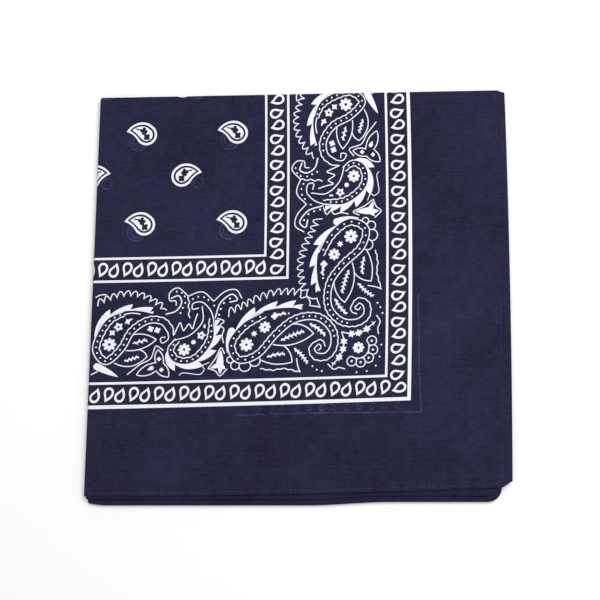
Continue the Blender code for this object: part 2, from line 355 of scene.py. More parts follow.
@dataclass
class FoldedPlan:
    """The outline of the folded square and the surface of its face-up quarter.

    The flat part of that quarter is a four-sided plan. Beyond its left side the cloth rolls over the second
    fold, and beyond its upper side over the first.
    """

    upper_left: Pair = (-136.7, 136.5)
    upper_right: Pair = (142.3, 141.95)
    lower_right: Pair = (144.15, -129.4)
    lower_left: Pair = (-144.25, -135.7)
    top: float = 4.8
    second_fold_reach: float = 2.3
    second_fold_drop: float = 2.4
    first_fold_radius: float = 1.15
    right_bow: float = 1.2
    lower_bow: float = 1.3
    tuck: float = 1.6
    tuck_width: float = 6.0
    tuck_reach: float = 30.0
    hem_right: float = 6.5
    hem_bottom: float = 2.4
    hem_puff: float = 0.45
    hem_fade: float = 12.0
    groove: float = 0.3
    groove_width: float = 0.7
    hem_slant: float = 4.0
    droop: float = 0.9
    droop_width: float = 6.0
    relief: float = 0.7
    relief_fade: float = 26.0
    crease_fade: float = 8.0
    widening: float = 9.4  # how much wider the flat part is at its lower side
    waves: tuple[tuple[float, float, float, float], ...] = (  # waves across and down, phase and share
        (1.4, 0.6, 0.4, 0.40),
        (0.7, 1.9, 2.1, 0.35),
        (2.6, 1.3, 4.0, 0.25),
    )

    def __post_init__(self) -> None:
        """Works out the flat part: its directions, corners and size, and where its stitches run."""
        self.rightward = unit(np.subtract(self.upper_right, self.upper_left))  # along the first fold
        self.downward = unit(np.subtract(self.lower_left, self.upper_left))  # along the second fold
        inward = self.rightward * self.second_fold_reach
        self.corner = self.upper_left + inward + self.downward * self.first_fold_radius
        self.flat_upper_right = np.subtract(self.upper_right, (0.0, self.first_fold_radius))
        along = unit(np.subtract(self.lower_right, self.lower_left))
        self.flat_lower_left = self.lower_left + along * self.second_fold_reach
        self.width = float(np.linalg.norm(self.flat_upper_right - self.corner))
        self.depth = float(np.linalg.norm(self.flat_lower_left - self.corner))
        self.stitches_across = self.width - self.hem_right
        self.stitches_down = self.depth - self.hem_bottom

    def plan_point(self, across: Array, down: Array) -> Array:
        """Plan points of the cloth laid out flat.

        The flat part is the even mixture of its four corners, with a bow on its right and on its lower
        side. Past the two folds the plan goes straight on.

        Args:
            across: distance from the second fold, negative past it.
            down: distance from the first fold, negative past it.

        Returns:
            X and Y, in the last axis.
        """
        s = np.maximum(across, 0.0)[..., None] / self.width
        t = np.maximum(down, 0.0)[..., None] / self.depth
        upper = self.corner + (self.flat_upper_right - self.corner) * s
        lower = self.flat_lower_left + (self.lower_right - self.flat_lower_left) * s
        bows = np.concatenate([self.right_bow * arch(t) * s, -self.lower_bow * arch(s) * t], axis=-1)
        flat = upper + (lower - upper) * t + bows
        beyond = np.minimum(across, 0.0)[..., None] * self.rightward
        return flat + beyond + np.minimum(down, 0.0)[..., None] * self.downward

    def from_corner(self, plan: Array) -> Array:
        """Distances of plan points from the second and from the first fold, along the two directions."""
        axes = np.column_stack([self.rightward, self.downward])
        return np.linalg.solve(axes, (plan - self.corner).reshape(-1, 2).T).reshape(2, *plan.shape[:-1])

    def place(self, plan: Array, lift: Array) -> Array:
        """Points in space of the laid out cloth.

        Past a fold the cloth turns downwards round the fold's axis, at the fold's radius plus the lift,
        for at most half a turn. Past the corner it turns away from the corner, and the radius goes evenly
        from one fold's to the other's. The first fold dips at its right end, where the hem crosses it.

        Args:
            plan: X and Y of the cloth laid out flat, in the last axis.
            lift: height above the level of the cloth's upper side.

        Returns:
            X, Y and Z, in the last axis.
        """
        across, down = self.from_corner(plan)
        past = np.stack([np.maximum(-across, 0.0), np.maximum(-down, 0.0)])
        distance = np.hypot(*past)
        share = np.arctan2(past[1], past[0]) / QUARTER_TURN
        reach = self.second_fold_reach + (self.first_fold_radius - self.second_fold_reach) * share
        drop = self.second_fold_drop + (self.first_fold_radius - self.second_fold_drop) * share
        turn = np.minimum(distance / drop, math.pi)
        run = distance - turn * drop
        outward = -(past[0][..., None] * self.rightward + past[1][..., None] * self.downward)
        outward = outward / np.maximum(distance, 1e-9)[..., None]
        inside = np.maximum(across, 0.0)[..., None] * self.rightward
        foot = self.corner + inside + np.maximum(down, 0.0)[..., None] * self.downward
        flat = foot + outward * ((reach + lift) * np.sin(turn) - run)[..., None]
        height = self.top - drop + (drop + lift) * np.cos(turn)
        near_hem = smooth_step(1.0 - (self.width - across) / self.tuck_width)
        flat[..., 1] -= self.tuck * near_hem * smooth_step(1.0 - down / self.tuck_reach)
        return np.concatenate([flat, height[..., None]], axis=-1)

    def right_edge(self, y: Array) -> Array:
        """X of the right hem's edge at this Y."""
        (x_top, y_top), (x_low, y_low) = self.flat_upper_right, self.lower_right
        t = np.clip((y_top - y) / (y_top - y_low), 0.0, 1.0)
        return x_top + (x_low - x_top) * t + self.right_bow * arch(t)

    def lower_edge(self, x: Array) -> Array:
        """Y of the lower hem's edge at this X."""
        (x_left, y_left), (x_right, y_right) = self.flat_lower_left, self.lower_right
        s = (x - x_left) / (x_right - x_left)
        return y_left + (y_right - y_left) * s - self.lower_bow * arch(s)

    def hem_lift(self, inward: Array, width: float, along: Array) -> Array:
        """Height that a hem of this quarter adds: it puckers slightly, in two waves along it."""
        pucker = 1.0 + 0.16 * np.sin(along / 3.7) + 0.12 * np.sin(along / 7.9 + 1.0)
        return hem_height(inward, width, self.hem_puff * pucker, self.groove, self.groove_width)

    def lift(self, plan: Array) -> Array:
        """Height of the upper side above level: soft waves that fade out at its sides, creases, hems, and
        the droop of the right hem where it reaches past the layers below."""
        across, down = self.from_corner(plan)
        x, y = plan[..., 0], plan[..., 1]
        s, t = across / (self.width + self.widening * down / self.depth), down / self.depth
        wave = sum(
            share * np.cos(2.0 * math.pi * (waves_across * s + waves_down * t) + phase)
            for waves_across, waves_down, phase, share in self.waves
        )
        inward = np.minimum(np.minimum(s, 1.0 - s) * self.width, np.minimum(t, 1.0 - t) * self.depth)
        relief = self.relief * (0.5 + 0.5 * wave) * smooth_step(inward / self.relief_fade)
        creases = sum(crease.lift(plan) for crease in CREASES) * smooth_step(inward / self.crease_fade)
        from_first, from_second = smooth_step(down / self.hem_fade), smooth_step(across / self.hem_fade)
        right = self.hem_lift(self.right_edge(y) - x, self.hem_right, y) * from_first
        lower = self.hem_lift(y - self.lower_edge(x), self.hem_bottom, x) * from_second
        past_layers = smooth_step((x - THIRD_QUARTER.right_edge(y)) / self.droop_width)
        return relief + creases + right + lower - self.droop * past_layers * from_first

    def surface(self, plan: Array) -> Array:
        """Points in space of the upper side at plan points."""
        return self.place(plan, self.lift(plan))

    def normals(self, plan: Array, step: float = 0.05) -> Array:
        """Unit normals of the upper side, from the differences between points two steps apart."""
        ways = [self.surface(plan + offset) - self.surface(plan - offset) for offset in step * np.eye(2)]
        return unit(np.cross(*ways))


class Side(Enum):
    """What an under layer has on one of its sides."""

    HEM = "hem"
    LOWER_NOSE = "lower half of a fold"
    UPPER_NOSE = "upper half of a fold"
    TUCKED = "end tucked under a fold"


@dataclass(frozen=True)
class UnderQuarter:
    """One of the three quarters below the first: a flat layer with two hems and two folded sides."""

    name: str
    low: float
    high: float
    right_above: float
    right_below: float
    lower_left_y: float
    lower_right_y: float
    second_fold: Side
    first_fold: Side
    second_fold_inside: float = 0.0
    first_fold_inside: float = 0.0
    hem: float = 4.2
    hem_puff: float = 0.2
    groove: float = 0.22
    radii: tuple[float, float, float, float] = (1.2, 1.4, 9.5, 4.0)
    corner_pull: float = 0.0
    pull_width: float = 14.0
    rise: float = 2.2
    rise_from: float = 0.55
    rise_to: float = 0.75
    side_cells: int = 64
    corner_cells: int = 9
    groove_width: float = 0.5
    upper_nose: float = 1.1
    settled_from: float = 0.9
    settled_in: float = 1.6
    under_rows: tuple[float, ...] = (10.0, 4.0, 2.5)
    upper_rows: tuple[float, ...] = (0.9, 1.3, 1.8, 2.3, 2.8, 3.3, 3.7, 4.0, 4.2, 4.4, 4.7, 5.2, 6.0, 10.0)

    def right_edge(self, y: Array) -> Array:
        """X of the right hem at this Y."""
        y_top = PLAN.upper_right[1]
        lean = self.right_below - self.right_above
        return self.right_above + lean * (y_top - y) / (y_top - self.lower_right_y)

    @cached_property
    def sides(self) -> list[tuple[Array, Array]]:
        """The straight sides as (start, end): second fold, lower hem, right hem, first fold."""
        upper_left = np.array(PLAN.upper_left)
        rightward, downward = PLAN.rightward, PLAN.downward
        upper_right = upper_left + rightward * (self.right_above - upper_left[0]) / rightward[0]
        lower_left = upper_left + downward * (self.lower_left_y - upper_left[1]) / downward[1]
        lower_right = np.array([self.right_below, self.lower_right_y])
        corners = [upper_left, lower_left, lower_right, upper_right]
        return [(corners[k], corners[(k + 1) % 4]) for k in range(4)]

    def loop(self, stand_in: Array, height: Array) -> Array:
        """A closed loop round the layer, each side moved in by its own distance, its corners rounded.

        The lower hem rises between two shares of its length and runs straight before and after, and its
        left corner is pulled up a little. Round a corner the height goes evenly from one side's to the
        next's.

        Args:
            stand_in: how far each of the four sides stands in.
            height: Z of each of the four sides.

        Returns:
            The points of the loop.
        """
        lines = []
        for (start, end), inward in zip(self.sides, stand_in):
            along = unit(end - start)
            lines.append((start + turned_left(along) * inward, along))
        arcs = []
        for k, radius in enumerate(self.radii):
            (a, before), (b, after) = lines[k - 1], lines[k]
            meeting = a + before * np.linalg.solve(np.column_stack([before, -after]), b - a)[0]
            turn = math.acos(np.clip(before @ after, -1.0, 1.0))
            radius = max(radius - 0.5 * stand_in[k], 0.4 * radius)  # rounder outside than inside
            middle = meeting - before * radius * math.tan(turn / 2) + turned_left(before) * radius
            angles = np.linspace(0.0, turn, self.corner_cells + 1)[:, None]
            arcs.append(middle + radius * (np.sin(angles) * before - np.cos(angles) * turned_left(before)))
        share = np.linspace(0.0, 1.0, self.side_cells + 1)[1:-1, None]
        risen = smooth_step((share[:, 0] - self.rise_from) / (self.rise_to - self.rise_from)) - share[:, 0]
        points = []
        for k, arc in enumerate(arcs):
            points.append(np.column_stack([arc, np.linspace(height[k - 1], height[k], len(arc))]))
            straight = arc[-1] + (arcs[(k + 1) % 4][0] - arc[-1]) * share
            if k == 1:
                straight[:, 1] += self.rise * risen
            points.append(np.column_stack([straight, np.full(len(straight), height[k])]))
        points = np.concatenate(points)
        from_corner = (points[:, :2] - self.sides[1][0]) / self.pull_width
        points[:, 1] += self.corner_pull * smooth_step(1.0 - from_corner).prod(axis=1)
        return points

    def profile(self, side: Side, inside: float = 0.0, lower_nose: Pair = (1.1, 1.1)) -> Array:
        """Cross-section of an edge from the underside up.

        A hem is a half round with the hump and stitch groove of the turned cloth on its upper side. Half of
        a fold is a quarter of an ellipse, and the other side of the layer settles behind it.

        Args:
            side: what the edge is.
            inside: how far the edge stands in from the layer's side.
            lower_nose: how far the lower half of a fold reaches out and up.

        Returns:
            How far each point stands in, and its height, in rows.
        """
        low, high = self.low, self.high
        under, upper = np.array(self.under_rows), np.array(self.upper_rows)
        underside, upside = np.full(len(under), low), np.full(len(upper), high)
        turn = np.linspace(-QUARTER_TURN, QUARTER_TURN, 9)
        if side is Side.LOWER_NOSE:
            turn = (turn - QUARTER_TURN) / 2
            reach, rise = lower_nose
            nose = low + rise * (1 + np.sin(turn))
            settle = smooth_step((upper - self.settled_from) / self.settled_in)
            upside = low + rise + (high - low - rise) * settle
            under = under + reach / 2
        elif side is Side.UPPER_NOSE:
            turn = (turn + QUARTER_TURN) / 2
            reach = self.upper_nose
            nose = high - reach * (1 - np.sin(turn))
            settle = smooth_step((under - self.settled_from) / self.settled_in)
            underside = high - reach + (low - high + reach) * settle
            upper = upper + reach / 2
        else:
            reach = (high - low) / 2
            nose = low + reach * (1 + np.sin(turn))
        if side is Side.HEM:
            upside = upside + hem_height(upper, self.hem, self.hem_puff, self.groove, self.groove_width)
        stand_in = np.concatenate([under, reach * (1 - np.cos(turn)), upper])
        return np.column_stack([stand_in + inside, np.concatenate([underside, nose, upside])])

    def build(self, cotton: Material) -> Piece:
        """Builds the layer: loops round it, one for each point of its edges' cross-sections, and two flat
        faces that close them."""
        wide_nose = (PLAN.second_fold_reach, PLAN.second_fold_drop)
        second_fold = self.profile(self.second_fold, self.second_fold_inside, wide_nose)
        first_fold = self.profile(self.first_fold, self.first_fold_inside)
        hem = self.profile(Side.HEM)
        loops = [self.loop(*level.T) for level in np.stack([second_fold, hem, hem, first_fold], axis=1)]
        points = np.concatenate(loops)
        index = np.arange(len(points)).reshape(len(loops), -1)
        faces = quads(np.column_stack([index, index[:, 0]])).tolist()
        faces += [index[0, ::-1].tolist(), index[-1].tolist()]
        piece = make_piece(self.name, points, faces, points[:, :2], [cotton])
        piece.data.set_sharp_from_angle(angle=SHARP_EDGE)
        return dress(piece, "folded_layers")

    def stitch_route(self, off_folds: float = 6.0) -> Array:
        """Points in space along the stitch groove of the lower hem."""
        stand_in = np.array([off_folds, self.hem, self.hem, off_folds])
        loop = self.loop(stand_in, np.full(4, self.high - self.groove + STITCH_LIFT))
        side = self.side_cells - 1
        first = 2 * (self.corner_cells + 1) + side  # past two corners and the second fold
        return loop[first : first + side]


PLAN = FoldedPlan()
FOURTH_QUARTER = UnderQuarter(
    "fourth_quarter", 0.0, 1.0, 140.3, 136.4, -136.5, -138.7, Side.LOWER_NOSE, Side.LOWER_NOSE
)
THIRD_QUARTER = UnderQuarter(
    "third_quarter", 1.2, 2.2, 141.0, 137.1, -141.95, -139.5, Side.UPPER_NOSE, Side.UPPER_NOSE, 2.6,
    corner_pull=1.5,
)
SECOND_QUARTER = UnderQuarter(
    "second_quarter", 2.5, 3.5, 140.5, 136.4, -137.9, -135.2, Side.UPPER_NOSE, Side.TUCKED, 1.4, 1.5
)


# ---------- print


LINE = 0.74  # width of most drawn lines


class Ink(IntEnum):
    """What lies on a spot of the cloth: the number of its material slot."""

    CLOTH = 0
    WHITE = 1
    CHAIN = 2
    GHOST = 3


def bow(start: Pair, end: Pair, bulge: float = 0.0) -> Array:
    """An arc between two points that leaves their straight line, to its left, by a share of its length."""
    way = np.subtract(end, start)
    u = np.linspace(0.0, 1.0, max(4, round(float(np.linalg.norm(way)) / 1.2)))[:, None]
    return start + way * u + turned_left(way) * bulge * arch(u)


def lobed(corners: Guides, bulge: float) -> Array:
    """Outline of a leaf: its tips and the notches between them, joined by bows that bulge one way."""
    ends = zip(corners, [*corners[1:], corners[0]])
    return np.vstack([bow(start, end, bulge)[:-1] for start, end in ends])


def round_end(point: Array, left: Array, count: int) -> Array:
    """Points of a half circle about a point, from its left round the front, without the two at its sides."""
    angles = np.linspace(0.0, math.pi, count)[1:-1, None]
    return point + np.cos(angles) * left - np.sin(angles) * turned_left(left)


def stroke(route: Array, width: float) -> Array:
    """Outline of a drawn line: its route moved to either side by half the width, with round ends."""
    side = sideways(route) * width / 2
    front, back = round_end(route[-1], side[-1], 6), round_end(route[0], -side[0], 6)
    return np.vstack([route + side, front, (route - side)[::-1], back])


def around(centre: Pair, radius: Array | float, angles: Array) -> Array:
    """Points at these angles round a centre, at a radius that may differ from one to the next."""
    return centre + np.stack([radius * np.cos(angles), radius * np.sin(angles)], axis=-1)


def disc(centre: Pair, radius: float, count: int = 12) -> Array:
    """Outline of a round spot."""
    return around(centre, radius, np.linspace(0.0, 2 * math.pi, count, endpoint=False))


def rosette(centre: Pair, radius: float, petals: int, depth: float = 0.4, turn: float = 0.0) -> Array:
    """Outline of a flower: a circle whose radius swells once for each petal."""
    angles = np.linspace(0.0, 2 * math.pi, 8 * petals, endpoint=False)
    swell = np.abs(np.cos((angles - turn) * petals / 2)) ** 0.6
    return around(centre, radius * (1.0 - depth * (1.0 - swell)), angles)


def star(centre: Pair, radius: float, rays: int, waist: float = 0.5, turn: float = 0.3) -> Array:
    """Outline of a star: its corners lie by turns at the radius and at the waist's share of it."""
    count = np.arange(2 * rays)
    return around(centre, radius * np.where(count % 2, waist, 1.0), turn + count * math.pi / rays)


def swept(guides: Sequence[Sequence[float]], inset: float = 0.0) -> Array:
    """Outline that a round spot leaves as it moves along a spine while it changes in size.

    Args:
        guides: guide points of the spine from its round end to its tip, each with the spot's radius there.
        inset: how far the outline is moved inwards. The tip moves in with it.

    Returns:
        The outline.
    """
    spine = curve(guides, 0.7)
    spine = spine[spine[:, 2] > inset + 0.05]
    spine, half = spine[:, :2], spine[:, 2:] - inset
    side = sideways(spine) * half
    tip = spine[-1] + unit(spine[-1] - spine[-2]) * half[-1] * 1.5  # a little ahead of the last spot
    return np.vstack([spine + side, tip[None], (spine - side)[::-1], round_end(spine[0], -side[0], 14)])


def drop(head: Pair, tip: Pair, radius: float, bend: float = 0.0, blunt: float = 1.2) -> Array:
    """Outline of a drop with a round head and a pointed tip, the form of a petal or a bead.

    Its spine is a bow from the middle of the head to the tip. Its half width falls from the radius to
    nothing as a power of what is left of the way.
    """
    u = np.linspace(0.0, 1.0, 13)[:, None]
    way = np.subtract(tip, head)
    spine = head + way * u + turned_left(way) * bend * arch(u)
    side = sideways(spine) * radius * (1.0 - u) ** blunt * (1.0 + blunt * u)
    return np.vstack([spine + side, (spine - side)[-2::-1], round_end(head, -side[0], 12)])


def waved(route: Array, depth: float, pitch: float) -> Array:
    """A route that swings to either side of itself, once in each pitch."""
    swing = depth * np.sin(2 * math.pi * lengths_along(route) / pitch)
    return route + sideways(route) * swing[:, None]


def toothed(guides: Guides, depth: float, teeth: int) -> Array:
    """A line of teeth to the left of a curve, leaning a little forwards: it stands off the curve by the size
    of a sine to the power 0.75, so it is round on its outer side and sharp where it meets the curve."""
    lean = 0.2
    route = curve(guides, 0.45)
    side = sideways(route)
    out = depth * np.abs(np.sin(math.pi * teeth * np.linspace(0.0, 1.0, len(route)))) ** 0.75
    return route + (side - lean * turned_left(side)) * out[:, None]


def crest(guides: Guides, lengths: Sequence[float], depth: float, root: float = 0.3) -> Array:
    """Outline of a row of flames that lie along a curve, each with its tip ahead.

    A flame's outer side stands off the curve by a share of the depth that climbs in a bow from the root to
    the tip, and falls straight back there. A short flame stands out less.

    Args:
        guides: guide points of the curve that the flames lie on.
        lengths: length of each flame.
        depth: how far a long flame's tip stands out to the left, or with a minus to the right.
        root: the share of the depth that a flame starts with.

    Returns:
        The outline.
    """
    route = curve(guides, 0.8)
    side = sideways(route)
    u = np.linspace(0.0, 1.0, 9)
    rise = root + (1.0 - root) * (0.7 * u + 0.3 * np.sin(QUARTER_TURN * u))
    outer = []
    for end, length in zip(np.cumsum(lengths), lengths):
        at = end - length * (1.0 - u) + 1.2 * u**3
        out = depth * min(1.0, 0.45 + length / 20.0) * rise
        outer.append(at_distances(route, route, at) + at_distances(route, side, at) * out[:, None])
    outer[0][0] = route[0]
    return np.vstack([*outer, route[::-1]])


def feather(guides: Guides, width: float, barbs: int, spine: float = 0.5) -> Array:
    """Outline of a feather: a thick spine with pointed barbs that lean forwards, turn and turn about on its
    two sides, and shorter at its ends."""
    route = curve(guides, 0.4)
    side, length = sideways(route), lengths_along(route)[-1]
    edges = []
    for sign, shift in ((1.0, 0.0), (-1.0, 0.45)):
        place = (np.arange(barbs) + shift) / barbs
        long = width / 2 * np.sin(math.pi * (0.22 + 0.6 * place))
        corners = []
        for ahead, out in ((0.05, spine), (0.6, long), (0.55, spine), (0.9, spine)):
            at = np.minimum(place + ahead / barbs, 1.0) * length
            out = np.broadcast_to(out, barbs)[:, None]
            corners.append(at_distances(route, route, at) + sign * out * at_distances(route, side, at))
        edges.append(np.stack(corners, axis=1).reshape(-1, 2))
    return np.vstack([route[:1], edges[0], route[-1:], edges[1][::-1]])


@dataclass
class Drawing:
    """Shapes of the print, in the order in which they are laid down: a later one covers an earlier one."""

    view: Callable[[Array], Array]
    shapes: list[tuple[Array, Ink]] = field(default_factory=list)

    def seen_by(self, view: Callable[[Array], Array]) -> "Drawing":
        """A drawing in other coordinates that adds to the same shapes."""
        return Drawing(lambda points: self.view(view(points)), self.shapes)

    def fill(self, *outlines: Array, ink: Ink = Ink.WHITE) -> None:
        """Lays down filled shapes."""
        self.shapes.extend((self.view(outline), ink) for outline in outlines)

    def line(self, *routes: Array, width: float = LINE, ink: Ink = Ink.WHITE) -> None:
        """Lays down a line along each route."""
        self.fill(*(stroke(route, width) for route in routes), ink=ink)

    def arcs(self, *guides: Guides, width: float = LINE, tightness: float = 0.0) -> None:
        """Lays down a smooth line through each list of guide points."""
        self.line(*(curve(points, tightness=tightness) for points in guides), width=width)

    def closed_line(self, outline: Array) -> None:
        """Lays down a line all round an outline."""
        self.line(np.vstack([outline, outline[:1]]))

    def ring(self, outline: Array, inner: Array, ground: Ink = Ink.CLOTH, ink: Ink = Ink.WHITE) -> None:
        """Lays down an outline with a hollow."""
        self.fill(outline, ink=ink)
        self.fill(inner, ink=ground)

    def spots(self, *centres: Pair, radius: float = 0.62) -> None:
        """Lays down single dots."""
        self.fill(*(disc(centre, radius, 8) for centre in centres))

    def flower(self, outline: Array, eye: float) -> None:
        """Lays down a flower or star with a dark eye."""
        self.ring(outline, disc(outline.mean(axis=0), eye, 8))

    def leaf(self, tip: Pair, right: tuple[Pair, float], left: tuple[Pair, float], vein: Array) -> None:
        """Lays down a leaf that grows out of a ribbon: two sides, each with its start and its bulge, that
        meet in its tip, and a feathery vein."""
        self.line(*(bow(start, tip, bulge) for start, bulge in (right, left)))
        self.fill(vein)

    def ribbon(
        self, guides: Guides, half: float, end_shares: Pair, dots: tuple[float, float, float, int],
        smooth_on: Guides, wavy_on: Guides = (), taper: float = 12.0, wave: Pair = (0.22, 4.3),
    ) -> None:
        """Lays down a ribbon with a smooth line down one side, a wavy one down the other, and dots between.

        Args:
            guides: guide points of its middle.
            half: half of its width.
            end_shares: share of the width that it has at its two ends.
            dots: distance to the first dot, the first and the last step between dots, and their number.
            smooth_on: further guide points of the smooth line, past the ribbon's end.
            wavy_on: further guide points of the wavy line, with sharper bends.
            taper: length over which it narrows at an end.
            wave: depth and pitch of the wavy line.
        """
        route = curve(guides)
        along = lengths_along(route)
        known = [0.0, taper, along[-1] - taper, along[-1]]
        shares = np.interp(along, known, [end_shares[0], 1.0, 1.0, end_shares[1]])
        side = sideways(route) * (half * shares)[:, None]
        self.fill(np.vstack([route - side, (route + side)[::-1]]), ink=Ink.CLOTH)
        wavy = waved(route + side, *wave)
        for edge, further, tightness in ((route - side, smooth_on, 0.0), (wavy, wavy_on, 0.6)):
            on = curve([edge[-1], *further], tightness=tightness)[1:] if further else edge[:0]
            self.line(np.vstack([edge, on]))
        first, step, last_step, count = dots
        distances = first + np.cumsum(np.linspace(step, last_step, count)) - step
        self.spots(*at_distances(route, route, distances))


@dataclass(frozen=True)
class PaisleyBorder:
    """The border between the two frames: three great paisleys, scrolls, leaves and small flowers.

    One arm of the border stands upright, and the other is its mirror image in the corner's diagonal.
    """

    tooth_line: float = 0.68
    scroll_line: float = 0.88
    fine_line: float = 0.55

    def draw_arm(self, art: Drawing) -> None:
        """One arm of the border, drawn upright, from the corner upwards."""
        low = (self.draw_low_surround, self.draw_low_paisley, self.draw_low_inside)
        middle = (self.draw_middle_paisley, self.draw_scrolls, self.draw_star_flower, self.draw_trefoil)
        for draw in (*low, *middle, self.draw_high_paisley, self.draw_high_inside):
            draw(art)

    def draw_low_surround(self, art: Drawing) -> None:
        """What goes round the lowest paisley: four rings, a wavy line and a line of teeth."""
        for *centre, radius in ((31, 122, 2.2), (27, 118.5, 3), (26.5, 112, 3.9), (29.5, 105.5, 3.6)):
            art.ring(disc(centre, radius + LINE / 2, 20), disc(centre, radius - LINE / 2, 20))
        art.line(waved(curve([(24, 101.5), (22.5, 93), (23, 86), (20, 75)]), 0.3, 5))
        art.arcs([(20, 75), (24, 76.5), (29, 77.5)])
        teeth = [(61, 124), (65.5, 113), (70, 104), (72.5, 94), (71.5, 84), (70, 76)]
        art.line(toothed(teeth, 5.4, 11), width=self.tooth_line)

    def draw_low_paisley(self, art: Drawing) -> None:
        """The lowest paisley: a ribbon that winds up in a spiral at the corner, with flames and a crest."""
        side = [(50, 119), (58, 111.5), (63, 103), (64.5, 93), (63.5, 81), (61.5, 75)]
        flames = crest(side, (18, 13.5, 11.5, 5.5, 2), 5, 0.2)
        art.fill(drop((51, 121.8), (35.5, 124), 2.3, -0.04, 0.9), flames)
        body = [(61.5, 100), (54, 113), (42, 121.5), (31, 116.5), (34, 104), (47, 92), (55.5, 79.5)]
        body += [(56, 64), (47.5, 54), (37, 52.5), (30, 57), (30, 64.5), (35, 67.5), (39, 64)]
        smooth_on, wavy_on = [(37, 61.5), (35, 61.5), (34, 63)], [(41, 62), (39.5, 59.5), (36.5, 58.5)]
        art.ribbon(body, 2.35, (0.9, 0.6), (3.2, 5.9, 3.75, 26), smooth_on, wavy_on)

    def draw_low_inside(self, art: Drawing) -> None:
        """What fills the lowest paisley: flowers, a stalk, two leaves and two feathers."""
        for centre, radius, eye in (((41, 111.5), 4.7, 0.9), ((52.5, 99.5), 4, 0.8)):
            art.flower(rosette(centre, radius, 8), eye)
        stalk = feather([(60, 92), (60.5, 85.5)], 3.4, 2)
        art.fill(star((48.5, 106.5), 2.3, 6, 0.55), rosette((59.5, 93), 2.4, 4), stalk)
        art.spots((60, 83.5))
        vein = feather([(42, 88.5), (44.5, 82.5), (47, 73)], 4.4, 6)
        art.leaf((45, 66.5), ((52.5, 80), 0.11), ((40, 93.5), -0.13), vein)
        vein = feather([(31.5, 97.5), (33, 92), (33, 85.5)], 3.8, 4)
        art.leaf((27, 80.5), ((38.5, 86.5), 0.12), ((30, 101.5), -0.1), vein)
        art.fill(feather([(36, 79.5), (31.5, 74.5), (25.5, 70)], 4, 6, 0.55))
        art.fill(feather([(51.5, 69.5), (49, 64.5), (43.5, 58.5)], 4, 5, 0.6))

    def draw_middle_paisley(self, art: Drawing) -> None:
        """The middle paisley: a ribbon round three flowers, with flames on its outer side."""
        side = [(38, 164.5), (31, 160), (29, 151), (33.5, 141), (45.5, 134), (59, 133)]
        art.fill(crest(side, (10.5, 15, 10.5, 9.5, 6.5, 5), -5.6, 0.2))
        body = [(45.5, 158), (39.5, 162), (33, 159), (31, 151), (35, 143), (46, 136), (60, 135.5)]
        smooth_on = [(66, 136.5), (71.5, 142), (71, 148), (67, 148.5), (67.5, 144.5)]
        art.ribbon(body, 2.25, (0.7, 0.6), (3.8, 3.9, 3.9, 14), smooth_on)
        art.arcs([(45.5, 160.5), (49, 149.5), (58, 141.5), (68.5, 142)])
        art.flower(rosette((39, 153), 4.3, 8), 0.9)
        art.flower(star((48.5, 142), 3.3, 5, 0.6, 1), 0.75)
        art.spots((44, 147), radius=1.6)
        art.line(bow((54, 140), (55.5, 140)), width=1.3)
        beside = [(21.5, 155.5), (23, 153), (21.5, 142), (25, 139), (27.5, 140.5), (29.5, 136)]
        art.arcs(beside, width=self.fine_line, tightness=0.3)
        art.arcs([(60, 131.5), (58, 127), (55, 129.5), (52.5, 127), (48, 128), (43, 127)])

    def draw_scrolls(self, art: Drawing) -> None:
        """Two scrolls back to back between the paisleys and the inner frame."""
        art.arcs([(70, 159.5), (73, 160), (73.5, 164), (79, 164), (82, 158.5), (76, 151.5)])
        art.line(waved(curve([(76, 151.5), (68.5, 151), (61, 150.5)]), -0.5, 5.6))
        inside = [(75, 163), (76.5, 158), (71.5, 156), (66, 159.5), (64, 166)]
        below = [(60.5, 133), (70.5, 130), (76.5, 122.5), (72.5, 118.5), (71, 123.5)]
        art.arcs(inside, below, width=self.scroll_line)
        art.arcs([(76, 151.5), (78.5, 145.5), (78, 140.5), (72, 134.5)])
        art.arcs([(72, 134.5), (78.5, 127), (79.5, 119.5), (73.5, 115.5)])
        art.spots((79.5, 159.5), (78.5, 156), (76, 154), (71.5, 153.5), (68, 155), (64.5, 156.5))
        art.spots((74, 148.5), (75.5, 145), (75, 141), (73, 138), (69, 134))
        art.spots((62.5, 130.5), (66.5, 129.5), (70.5, 127.5), (73.5, 123.5), radius=0.7)

    def draw_star_flower(self, art: Drawing) -> None:
        """A solid flower of one long and three short petals with an outline round it."""
        for head, tip, radius in (
            ((28, 128.8), (38, 128.5), 2.4),
            ((27.5, 130), (25.5, 135), 1.7),
            ((26.5, 128.3), (21.5, 128.5), 1.7),
            ((27, 127.5), (24.5, 125), 1.3),
        ):
            art.fill(drop(head, tip, radius, 0, 1))
        art.arcs([(35.5, 126), (39.5, 128.5), (32, 132), (25.5, 136.5)], tightness=0.2)
        art.arcs([(25.5, 136.5), (23.5, 131.5), (20, 128.5), (24.5, 124)], tightness=0.3)

    def draw_trefoil(self, art: Drawing) -> None:
        """A leaf of three lobes with a line that echoes it."""
        corners = [(30.5, 171.5), (22.5, 184), (25, 171), (20.5, 162.5), (30, 166.5), (39.5, 170.5)]
        art.closed_line(lobed(corners, -0.14))
        art.arcs([(23, 190), (29.5, 182), (33.5, 175), (42, 172), (39, 167)], tightness=0.2)
        art.fill(drop((27, 174), (25.5, 177), 1.35))
        art.fill(*(rosette(centre, 1.5, 4) for centre in ((33, 169.5), (25.5, 167.5))))

